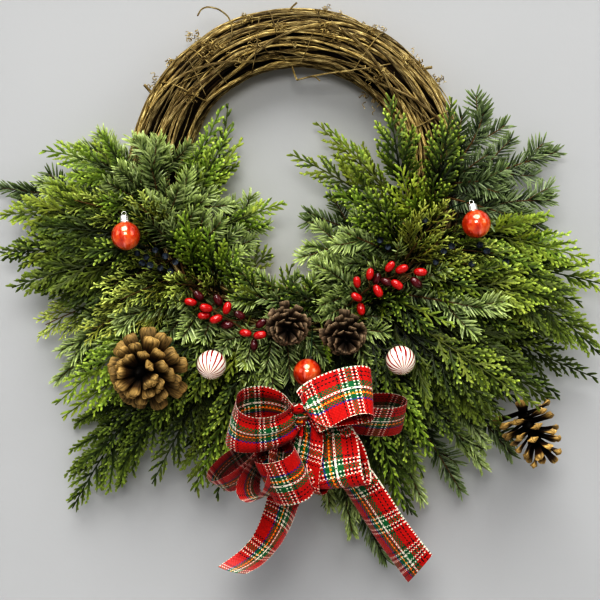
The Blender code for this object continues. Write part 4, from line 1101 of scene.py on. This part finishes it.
for name, centre, cap_way, anchor in (
        ("orange_ball_left", (-0.192, -0.115, -0.214), (-0.10, 0.12, 0.99), (206, 0.024)),
        ("orange_ball_right", (0.203, -0.108, -0.200), (-0.18, 0.15, 0.97), (344, 0.024)),
        ("orange_ball_centre", (0.012, -0.100, -0.369), (0.15, 0.75, 0.60), (276, 0.022, -0.010)),
        ("striped_ball_left", (-0.096, -0.112, -0.359), (0.1, 0.8, 0.6), (250, 0.024, -0.010)),
        ("striped_ball_right", (0.117, -0.112, -0.354), (-0.1, 0.8, 0.6), (297, 0.024, -0.010))):
    ball(name, centre, cap_way, anchor)

cone("large_cone_left", (-0.168, -0.098, -0.364), (-0.174, -0.150, -0.367), 0.0485, 42, 0.0195, 0.0056, 0.42,
     CONE_TAN, 21, blunt=1.0, lean_end=62, first=0.04, narrow=0.42, hollow=6)
cone("large_cone_right", (0.262, -0.076, -0.416), (0.283, -0.100, -0.464), 0.0355, 36, 0.0165, 0.0042, 0.72,
     CONE_BROWN, 22, blunt=0.9, lean_end=54, first=0.02, narrow=0.62)
cone("small_cone_left", (-0.010, -0.078, -0.312), (-0.010, -0.112, -0.322), 0.027, 40, 0.0125, 0.0019, 0.50,
     CONE_GREY, 23, blunt=1.2, lean_end=50, knob=0.3, hollow=2)
cone("small_cone_right", (0.054, -0.080, -0.322), (0.057, -0.114, -0.334), 0.028, 40, 0.0125, 0.0019, 0.50,
     CONE_GREY, 24, blunt=1.2, lean_end=50, knob=0.3, hollow=2)
OBSTACLES += [(np.array((-0.168, -0.120, -0.364)), 0.041), (np.array((0.277, -0.088, -0.448)), 0.021),
              (np.array((-0.010, -0.092, -0.317)), 0.025), (np.array((0.055, -0.094, -0.328)), 0.025)]

hips("rose_hips_left", (214, 0.024),
     [(186, 282, 0.080), (200, 303, 0.094), (214, 311, 0.098), (232, 322, 0.098), (252, 334, 0.096)],
     [(190.5, 302, 0.100, False, 168), (206, 308, 0.106, False, 165), (204, 315.5, 0.100, False, 185),
      (216, 319, 0.107, False, 200), (227, 308, 0.106, False, 72), (245.5, 333, 0.104, False, 172),
      (260, 335, 0.102, False, 10), (198.5, 295.5, 0.096, True, 135), (218, 300, 0.100, True, 120),
      (239.5, 315, 0.102, True, 150), (227, 325, 0.098, True, 185), (261, 323.5, 0.096, True, 40),
      (254, 345, 0.092, True, 268)])
hips("rose_hips_right", (290, 0.024),
     [(352, 302, 0.078), (366, 290, 0.092), (383, 280, 0.098), (398, 275, 0.100), (410, 274, 0.100)],
     [(357, 282, 0.102, False, 100), (370, 274, 0.104, False, 80), (390, 266.5, 0.108, False, 52),
      (402, 269, 0.108, False, 22), (420.5, 272, 0.106, False, -4), (378, 291, 0.107, False, -62),
      (397, 284.5, 0.108, False, -35), (356.5, 297, 0.102, False, 150), (387, 282, 0.102, True, -20),
      (416, 282.5, 0.104, True, -42), (377, 279, 0.098, True, 75), (361, 309, 0.092, False, -80)])

bow()

# The sprays, in millimetres, degrees and hundredths. The first frond of each is the
# CAD's own: its kind, its root in the bundle (degrees round the ring, how far forward,
# how far inward), its tip, its bend, half its width and its bare share. Those tucked in
# beside it have their kind, the root's angle and how far forward it is, the tip as the
# photograph shows it (across, down and depth before the wall), how far they bow forward,
# half their width, their bare share and, if it isn't 0, how far inward they start.
# L and K take the painted lit copy of the cedar paint, M and N the painted half-shade copy, D and Q the
# painted shade copy.
C, P = ("cedar", CEDAR, {}), ("cedar", CEDAR, {"comb": 0.8})
D, Q = ("cedar", CEDAR_PAINTED_SHADE, {}), ("cedar", CEDAR_PAINTED_SHADE, {"comb": 0.8})
M, N = ("cedar", CEDAR_PAINTED_HALF_SHADE, {}), ("cedar", CEDAR_PAINTED_HALF_SHADE, {"comb": 0.8})
K = ("cedar", CEDAR_PAINTED_LIT, {"comb": 0.8})
L, J, F = ("cedar", CEDAR_PAINTED_LIT, {}), ("juniper", JUNIPER, {}), ("fir", FIR, {})
G = ("fir", FIR_DARK, {"step": 0.0011, "roll": (-14, 42)})
SPRAYS = {
    # Left, from the top down
    "fir_left_upper": (F, (184,), (-273, -20, -99), (10, 0, 20), 21, 20),
    "cedar_left_light": (L, (190, 18), (-296, -80, -112), (10, -12, 20), 34, 15),
    "fir_left_long": (G, (199, -4), (-364, -20, -148), (0, 0, 10), 21, 20),
    "cedar_left_upper": (P, (204, 20), (-343, -86, -188), (0, -20, 20), 40, 18),
    "cedar_left_middle": (Q, (209,), (-356, -42, -232), (0, 0, 10), 44, 20),
    "cedar_left_lower": (N, (216, 20), (-328, -90, -272), (0, -20, 20), 42, 18),
    "juniper_left": (J, (222,), (-306, -32, -316), (0, 0, 10), 42, 20),
    "fir_left_low": (F, (229,), (-294, -24, -384), (0, 0, 20), 21, 20),
    # Low, from left to right
    "cedar_low_left_light": (L, (236, 18), (-283, -72, -409), (0, -20, 20), 36, 35),
    "cedar_low_left": (M, (240,), (-275, -26, -541), (-20, 0, 10), 50, 35),
    "cedar_low_inner": (M, (252,), (-122, -50, -516), (-10, 0, 0), 44, 20),
    "fir_bottom": (G, (271,), (108, -28, -602), (-20, 0, -20), 21, 35),
    "cedar_bottom_right": (Q, (283, 18), (135, -72, -538), (0, -10, 0), 40, 30),
    "fir_low_right": (G, (292,), (200, -26, -519), (0, 0, 0), 21, 25),
    "fir_low_far_right": (G, (301,), (257, -50, -471), (0, 0, 10), 21, 25),
    "cedar_right_low": (Q, (306, 18), (293, -84, -402), (0, -20, 0), 42, 20),
    # Right, from the bottom up
    "cedar_right_dark": (D, (313,), (367, -28, -382), (0, 0, -10), 34, 30),
    "cedar_right_droop": (N, (320, 18), (353, -78, -350), (20, -20, 50), 42, 30),
    "cedar_right_middle": (P, (328,), (375, -38, -268), (0, 0, 10), 44, 20),
    "cedar_right_upper": (L, (336, 18), (341, -86, -242), (0, -20, 20), 36, 20),
    "fir_right_middle": (G, (348, 12), (296, -74, -169), (0, -10, 0), 21, 20),
    "fir_right_upper": (G, (354,), (319, -22, -104), (0, 0, 0), 21, 20),
    "fir_right_top": (G, (357, 16), (222, -60, -58), (20, -10, 0), 21, 10),
    # Inside the ring
    "cedar_inside_left": (C, (203, 0, 20), (-84, -30, -46), (20, 0, -20), 26, 20),
    "cedar_inside_left_light": (L, (212, 14, 20), (-14, -62, -171), (10, -10, 10), 22, 20),
    "fir_inside_left": (F, (217, -6, 20), (-55, -26, -179), (10, 0, 0), 18, 20),
    "cedar_inside_low": (C, (243, 0, 20), (-32, -30, -227), (0, 0, 10), 20, 20),
    "cedar_over_right": (C, (334, 18, 15), (107, -86, -50), (-10, -30, 0), 34, 15),
    "cedar_over_right_outer": (C, (340, 20), (179, -88, -52), (0, -30, 0), 28, 15),
    "cedar_inside_right": (C, (336, 6, 20), (-8, -56, -112), (0, -10, 10), 32, 12),
    "cedar_inside_right_up": (C, (342, -10, 20), (23, -26, -68), (0, 0, 0), 26, 20),
    "fir_inside_right": (G, (324, -4, 20), (13, -30, -179), (0, 0, 0), 18, 12),
    # Over the front
    "fir_front_left": (F, (197, 20), (-179, -86, -100), (10, -30, 0), 18, 10),
    "cedar_front_low_left": (C, (246, 22), (-170, -86, -436), (0, -30, 0), 32, 15),
    "juniper_front_right": (J, (312, 22), (172, -100, -180), (-10, -30, 0), 26, 30),
    "cedar_front_low_right": (N, (300, 22), (235, -88, -436), (0, -30, 0), 40, 15),
    "cedar_front_right": (P, (318, 24), (302, -94, -286), (0, -30, 0), 36, 15),
}
TUCKED = {
    "fir_front_left": [
        (F, 188, 22, 166, 150, 75, 20, 18, 5), (F, 196, 22, 136, 172, 70, 20, 18, 10),
        (F, 203, 24, 192, 192, 75, 20, 17, 5), (F, 206, 24, 160, 205, 80, 15, 17, 10),
        (F, 214, 26, 176, 218, 80, 12, 17, 5)],
    "fir_left_upper": [(F, 188, 10, 98, 160, 50, 10, 20, 10)],
    "cedar_left_light": [(L, 197, 20, 98, 198, 90, 15, 24, 10), (J, 200, 22, 66, 198, 88, 15, 26, 10)],
    "fir_left_long": [(F, 195, 6, 40, 182, 40, 0, 20, 10)],
    "cedar_left_upper": [(Q, 206, 18, 38, 226, 98, 15, 38, 15)],
    "cedar_left_middle": [(C, 212, 6, 2, 250, 60, 10, 40, 20), (D, 207, -4, 20, 215, 26, 0, 44, 10)],
    "cedar_left_lower": [
        (Q, 219, 12, 40, 292, 70, 15, 40, 15), (C, 210, 22, 84, 252, 104, 15, 30, 10),
        (D, 216, -4, 40, 280, 26, 0, 44, 10)],
    "juniper_left": [
        (J, 215, 22, 110, 286, 90, 15, 28, 10), (J, 226, 20, 92, 330, 72, 12, 34, 10),
        (J, 208, 24, 140, 204, 92, 12, 26, 10), (J, 232, 24, 176, 284, 98, 15, 26, 10),
        (J, 236, 26, 206, 290, 96, 12, 24, 10), (J, 222, 24, 120, 300, 100, 12, 30, 10),
        (D, 225, 0, 72, 325, 30, 0, 44, 10)],
    "fir_left_low": [
        (F, 226, 6, 62, 350, 45, 0, 20, 15), (F, 236, 22, 116, 318, 80, 12, 19, 20),
        (F, 240, 18, 98, 345, 66, 10, 19, 20), (F, 240, 24, 186, 320, 86, 10, 18, 10),
        (D, 234, 0, 85, 370, 30, 0, 42, 10)],
    "cedar_low_left_light": [(L, 240, 18, 62, 418, 60, 10, 30, 45)],
    "cedar_low_left": [
        (M, 243, 10, 120, 470, 52, 5, 36, 30), (M, 246, 6, 94, 456, 40, 5, 38, 30),
        (D, 246, -4, 120, 450, 24, 0, 44, 10)],
    "cedar_low_inner": [
        (M, 248, 10, 152, 484, 55, 10, 36, 25), (L, 258, 10, 197, 488, 56, 5, 28, 30),
        (M, 262, 4, 216, 498, 45, 0, 34, 30), (M, 268, 0, 252, 480, 40, 0, 40, 10),
        (D, 256, -4, 190, 460, 26, 0, 46, 10), (D, 275, 0, 290, 470, 30, 0, 46, 10)],
    "cedar_front_low_left": [
        (L, 252, 24, 226, 382, 84, 10, 16, 30), (M, 244, 24, 150, 420, 84, 10, 34, 15),
        (C, 250, 24, 190, 402, 86, 15, 30, 10), (C, 256, 24, 216, 440, 80, 10, 32, 10),
        (M, 240, 24, 110, 400, 80, 10, 34, 20), (D, 262, 20, 250, 400, 60, 0, 36, 5),
        (F, 250, 22, 196, 336, 76, 10, 18, 10), (F, 262, 22, 244, 350, 76, 5, 18, 10),
        (F, 268, 20, 262, 385, 70, 0, 18, 10)],
    "fir_bottom": [(F, 266, 0, 330, 505, 40, 0, 21, 20), (F, 276, 0, 352, 532, 32, 0, 21, 30)],
    "cedar_bottom_right": [
        (M, 290, 12, 394, 484, 60, 0, 36, 20), (M, 280, 10, 335, 470, 50, 0, 36, 10),
        (L, 296, 18, 430, 458, 78, 10, 26, 20), (D, 286, -4, 372, 470, 28, 0, 46, 10)],
    "fir_low_right": [
        (F, 286, 4, 422, 500, 36, 0, 21, 20), (F, 297, 4, 482, 466, 42, 0, 21, 20),
        (D, 294, -4, 440, 450, 26, 0, 46, 10)],
    "fir_low_far_right": [(F, 303, 10, 484, 440, 58, 0, 20, 20), (D, 303, -4, 500, 410, 30, 0, 46, 10)],
    "cedar_front_low_right": [
        (M, 296, 22, 468, 452, 82, 10, 34, 15), (M, 303, 24, 462, 400, 98, 10, 32, 10),
        (M, 292, 24, 432, 418, 92, 10, 32, 10), (F, 290, 22, 400, 398, 70, 0, 18, 10),
        (D, 283, 20, 345, 400, 60, 0, 36, 5), (K, 279, 26, 330, 363, 128, 26, 8, 40),
        (L, 290, 24, 434, 452, 100, 12, 20, 40), (L, 288, 22, 404, 512, 100, 10, 18, 40),
        (C, 290, 18, 424, 478, 80, 8, 30, 30)],
    "cedar_right_low": [
        (M, 303, 10, 520, 402, 72, 5, 36, 20), (M, 308, 22, 500, 370, 94, 10, 34, 15),
        (C, 302, 28, 541, 409, 134, 12, 26, 35), (M, 300, 24, 508, 420, 118, 12, 26, 35),
        (C, 311, 12, 550, 352, 60, 5, 36, 20)],
    "cedar_right_dark": [(D, 310, 0, 560, 396, 30, 0, 34, 20), (F, 314, 6, 560, 336, 45, 0, 20, 20)],
    "cedar_right_droop": [(C, 322, 18, 576, 328, 78, 10, 34, 20)],
    "cedar_right_middle": [
        (C, 325, 6, 582, 302, 50, 5, 38, 20), (C, 330, 16, 560, 282, 88, 10, 36, 15),
        (D, 326, -4, 540, 290, 28, 0, 46, 10)],
    "cedar_right_upper": [
        (L, 333, 20, 540, 266, 94, 12, 28, 15), (L, 340, 14, 534, 207, 62, 10, 20, 30),
        (C, 337, 10, 560, 256, 56, 5, 34, 20)],
    "fir_right_middle": [
        (G, 349, 6, 538, 240, 48, 0, 20, 15), (G, 352, 20, 505, 214, 74, 10, 19, 10),
        (F, 342, 0, 520, 262, 30, 0, 21, 10)],
    "fir_right_top": [(G, 356, 20, 500, 180, 78, 10, 19, 5), (D, 350, 20, 466, 168, 70, 5, 20, 10)],
    "juniper_front_right": [
        (J, 322, 24, 470, 264, 94, 12, 26, 10), (J, 330, 22, 500, 254, 82, 10, 26, 10),
        (J, 338, 24, 432, 214, 98, 12, 24, 10), (J, 318, 24, 440, 240, 100, 15, 22, 10)],
    "cedar_front_right": [
        (C, 296, 26, 392, 300, 86, 12, 26, 4), (C, 306, 26, 404, 306, 94, 12, 24, 4),
        (F, 312, 26, 384, 268, 86, 8, 18, 4), (C, 290, 26, 352, 322, 78, 8, 24, 4),
        (C, 312, 24, 520, 328, 90, 12, 32, 10), (C, 318, 26, 480, 290, 104, 12, 28, 10),
        (F, 306, 26, 502, 312, 104, 15, 18, 15), (L, 304, 26, 456, 326, 112, 15, 12, 50),
        (C, 300, 26, 372, 300, 92, 10, 24, 10), (C, 306, 26, 430, 330, 98, 12, 26, 10)],
    "cedar_over_right": [
        (C, 320, 26, 384, 214, 92, 14, 26, 5), (D, 327, 26, 428, 214, 84, 8, 26, 5),
        (L, 330, 24, 400, 166, 98, 12, 30, 10), (C, 325, 24, 364, 190, 92, 15, 30, 10),
        (L, 337, 26, 412, 200, 102, 12, 28, 10)],
    "cedar_over_right_outer": [
        (C, 345, 22, 440, 150, 84, 10, 24, 10), (C, 335, 26, 434, 178, 98, 10, 28, 10)],
    "cedar_inside_right": [
        (L, 328, 20, 334, 188, 78, 12, 28, 10, 15), (L, 338, 14, 324, 123, 52, 10, 18, 35, 10)],
    "fir_inside_right": [
        (D, 316, 26, 356, 262, 78, 8, 24, 5), (F, 302, 26, 340, 292, 72, 8, 18, 5),
        (F, 318, 10, 308, 246, 40, 0, 18, 10, 20), (F, 312, 15, 318, 272, 50, 0, 18, 10, 15),
        (F, 322, 20, 344, 232, 76, 10, 18, 10, 10), (F, 300, 20, 330, 288, 60, 5, 18, 10, 15),
        (F, 296, 15, 338, 262, 50, 5, 18, 10, 10), (F, 284, 22, 368, 334, 70, 0, 18, 10)],
    "fir_inside_left": [
        (F, 212, 10, 250, 250, 34, 0, 16, 10, 15), (F, 200, 18, 214, 192, 50, 10, 18, 10, 10),
        (F, 222, 20, 232, 262, 60, 10, 17, 10, 10), (F, 222, 24, 204, 214, 74, 12, 19, 5)],
    "cedar_inside_left": [
        (L, 226, 26, 190, 244, 94, 14, 18, 8), (L, 222, 26, 186, 232, 90, 18, 26, 5),
        (K, 205, 16, 243, 138, 52, 5, 22, 15, 15), (K, 200, 14, 222, 106, 46, 6, 24, 15, 12),
        (K, 204, 18, 234, 124, 56, 8, 24, 10, 12), (K, 198, 16, 208, 132, 50, 6, 22, 10, 12),
        (C, 200, 22, 206, 172, 70, 12, 20, 10, 5), (L, 231, 26, 182, 214, 100, 22, 26, 8),
        (L, 238, 26, 206, 228, 96, 18, 24, 8), (C, 214, 24, 196, 205, 85, 15, 22, 8)],
    "cedar_inside_low": [
        (C, 236, 12, 235, 262, 56, 5, 22, 10, 15), (C, 250, 18, 262, 276, 62, 5, 22, 10, 10),
        (C, 262, 6, 292, 264, 36, 0, 20, 10, 10), (L, 248, 26, 222, 240, 86, 18, 24, 8),
        (C, 262, 26, 236, 266, 84, 14, 26, 8), (F, 270, 22, 300, 340, 50, 0, 18, 10),
        (D, 268, 24, 228, 290, 70, 6, 22, 5), (F, 280, 24, 244, 292, 74, 8, 18, 5),
        (C, 288, 26, 268, 284, 82, 10, 24, 5), (D, 256, 26, 296, 292, 76, 10, 22, 5),
        (F, 262, 24, 312, 296, 66, 6, 18, 5), (D, 225, 26, 196, 262, 76, 6, 22, 5)],
}
BERRIES = {
    "juniper_left": [(137, 253, 0.100), (146, 257, 0.104), (155, 250, 0.104), (165, 256, 0.106),
                     (175, 262, 0.104),
                     (150, 265, 0.104), (160, 268, 0.106), (170, 271, 0.104), (142, 263, 0.100)],
    "juniper_front_right": [(380, 240, 0.090), (388, 247, 0.092), (425, 220, 0.104), (444, 251, 0.104),
                            (452, 246, 0.104),
                            (480, 245, 0.100), (487, 251, 0.102), (497, 265, 0.102), (472, 264, 0.104),
                            (506, 262, 0.100),
                            (436, 262, 0.102)],
}
for seed, (name, (sort, (around, *root), tip, bend, half, bare)) in enumerate(SPRAYS.items()):
    fronds = [(sort, in_bundle(around, *metres(*root)), metres(*tip), metres(*bend), half / 1000, bare / 100)]
    for sort, around, front, across, down, depth, out, half, bare, *inward in TUCKED.get(name, ()):
        fronds.append((sort, in_bundle(around, *metres(front, *inward)), seen(across, down, depth / 1000),
                       FRONT * out / 1000, half / 1000, bare / 100))
    greens(name, fronds, seed, BERRIES.get(name, ()))

# The CAD's wires stay, with a better finish
for node in ("large_cone_left_pick", "large_cone_right_pick", "small_cone_left_pick", "small_cone_right_pick",
             "bow_tie_wire"):
    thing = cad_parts[node]
    for place in thing.material_slots:
        place.material = WIRE

# Stage, light and camera


def one_sided(paint, passes_light=False):
    """Leave a stage surface see-through from behind, so it hides no view of the wreath."""
    behind = paint.node("NewGeometry").outputs["Backfacing"]
    if passes_light:
        behind = paint.sum("MAXIMUM", behind, paint.node("LightPath").outputs["Is Shadow Ray"])
    clear = paint.node("BsdfTransparent").outputs[0]
    both = paint.node("MixShader", ((0, behind), (1, paint.shader.outputs[0]), (2, clear)))
    paint.links.new(both.outputs[0], paint.nodes["Material Output"].inputs[0])


def plaster():
    paint = Paint("wall", Roughness=0.85, Specular_IOR_Level=0.2)
    place = paint.node("TexCoord").outputs["Object"]
    grain = paint.noise(place, 60.0, 4.0)
    paint.bump(grain, 0.0006, 0.3)
    colour = paint.ramp(paint.noise(place, 2.0, 2.0),
                        ((0.3, (0.400, 0.402, 0.404)), (0.7, (0.425, 0.427, 0.429))))
    material = paint.colour(colour)
    one_sided(paint, True)
    return material


def plane(name, corners, material):
    mesh = bpy.data.meshes.new(name)
    mesh.from_pydata(corners, [], [(0, 1, 2, 3)])
    mesh.materials.append(material)
    made = bpy.data.objects.new(name, mesh)
    bpy.context.scene.collection.objects.link(made)


def light(name, kind, way, energy, colour, place=(0, 0, 0), **settings):
    """A light that shines along a way."""
    data = bpy.data.lights.new(name, kind)
    data.energy, data.color = energy, colour
    for label, value in settings.items():
        setattr(data, label, value)
    made = bpy.data.objects.new(name, data)
    made.location = place
    made.rotation_mode = "QUATERNION"
    made.rotation_quaternion = Vector(way).to_track_quat("-Z", "Y")
    bpy.context.scene.collection.objects.link(made)


def lamp(name, place, aim, size, energy, colour):
    light(name, "AREA", Vector(aim) - Vector(place), energy, colour, place, shape="RECTANGLE",
          size=size[0], size_y=size[1])


WALL = plaster()
plane("wall", [(-3, 0.0005, -1.6), (3, 0.0005, -1.6), (3, 0.0005, 2.4), (-3, 0.0005, 2.4)], WALL)
FLOOR_PAINT = Paint("floor", Roughness=0.9)
floor_place = FLOOR_PAINT.node("TexCoord").outputs["Object"]
FLOOR_PAINT.colour(FLOOR_PAINT.ramp(FLOOR_PAINT.noise(floor_place, 3.0),
                                    ((0.3, (0.42, 0.42, 0.425)), (0.7, (0.45, 0.45, 0.455)))))
one_sided(FLOOR_PAINT)
plane("floor", [(-3, -4, -1.6), (3, -4, -1.6), (3, 3, -1.6), (-3, 3, -1.6)], FLOOR_PAINT.material)

light("ceiling_light", "SUN", (0.14, 1.0, -1.52), 2.05, (1.0, 0.995, 0.975), angle=math.radians(42))
light("room_light", "SUN", (0.0, 0.60, -1.0), 0.12, (0.985, 0.99, 1.0), angle=math.radians(120))
lamp("front_light", (-0.05, -1.30, 0.12), (0, 0, -0.05), (0.5, 0.35), 5.5, (1.0, 0.995, 0.98))
lamp("window_light", (2.1, -1.3, 0.6), (0, 0, -0.25), (0.9, 1.2), 7, (0.97, 0.98, 1.0))
lamp("fill_light", (-2.1, -1.4, 0.5), (0, 0, -0.3), (1.2, 1.2), 6, (0.98, 0.98, 1.0))
lamp("back_light", (0.6, 1.6, 0.9), (0, 0, -0.25), (1.6, 1.2), 50, (1.0, 1.0, 1.0))

world = bpy.data.worlds.new("world")
world.use_nodes = True
world.node_tree.nodes["Background"].inputs[0].default_value = (0.86, 0.86, 0.87, 1.0)
world.node_tree.nodes["Background"].inputs[1].default_value = 0.24
bpy.context.scene.world = world
bpy.context.scene.view_settings.view_transform = "Standard"
bpy.context.scene.view_settings.look = "Very High Contrast"

lens = bpy.data.cameras.new("camera")
lens.sensor_width = 36
lens.lens = 18 / (VIEW_WIDTH / 2 / VIEW_DISTANCE)
lens.clip_start = 0.01
camera = bpy.data.objects.new("camera", lens)
camera.location = (VIEW_CENTRE[0], -VIEW_DISTANCE, VIEW_CENTRE[1])
camera.rotation_euler = (math.radians(90), 0, 0)
bpy.context.scene.collection.objects.link(camera)
bpy.context.scene.camera = camera
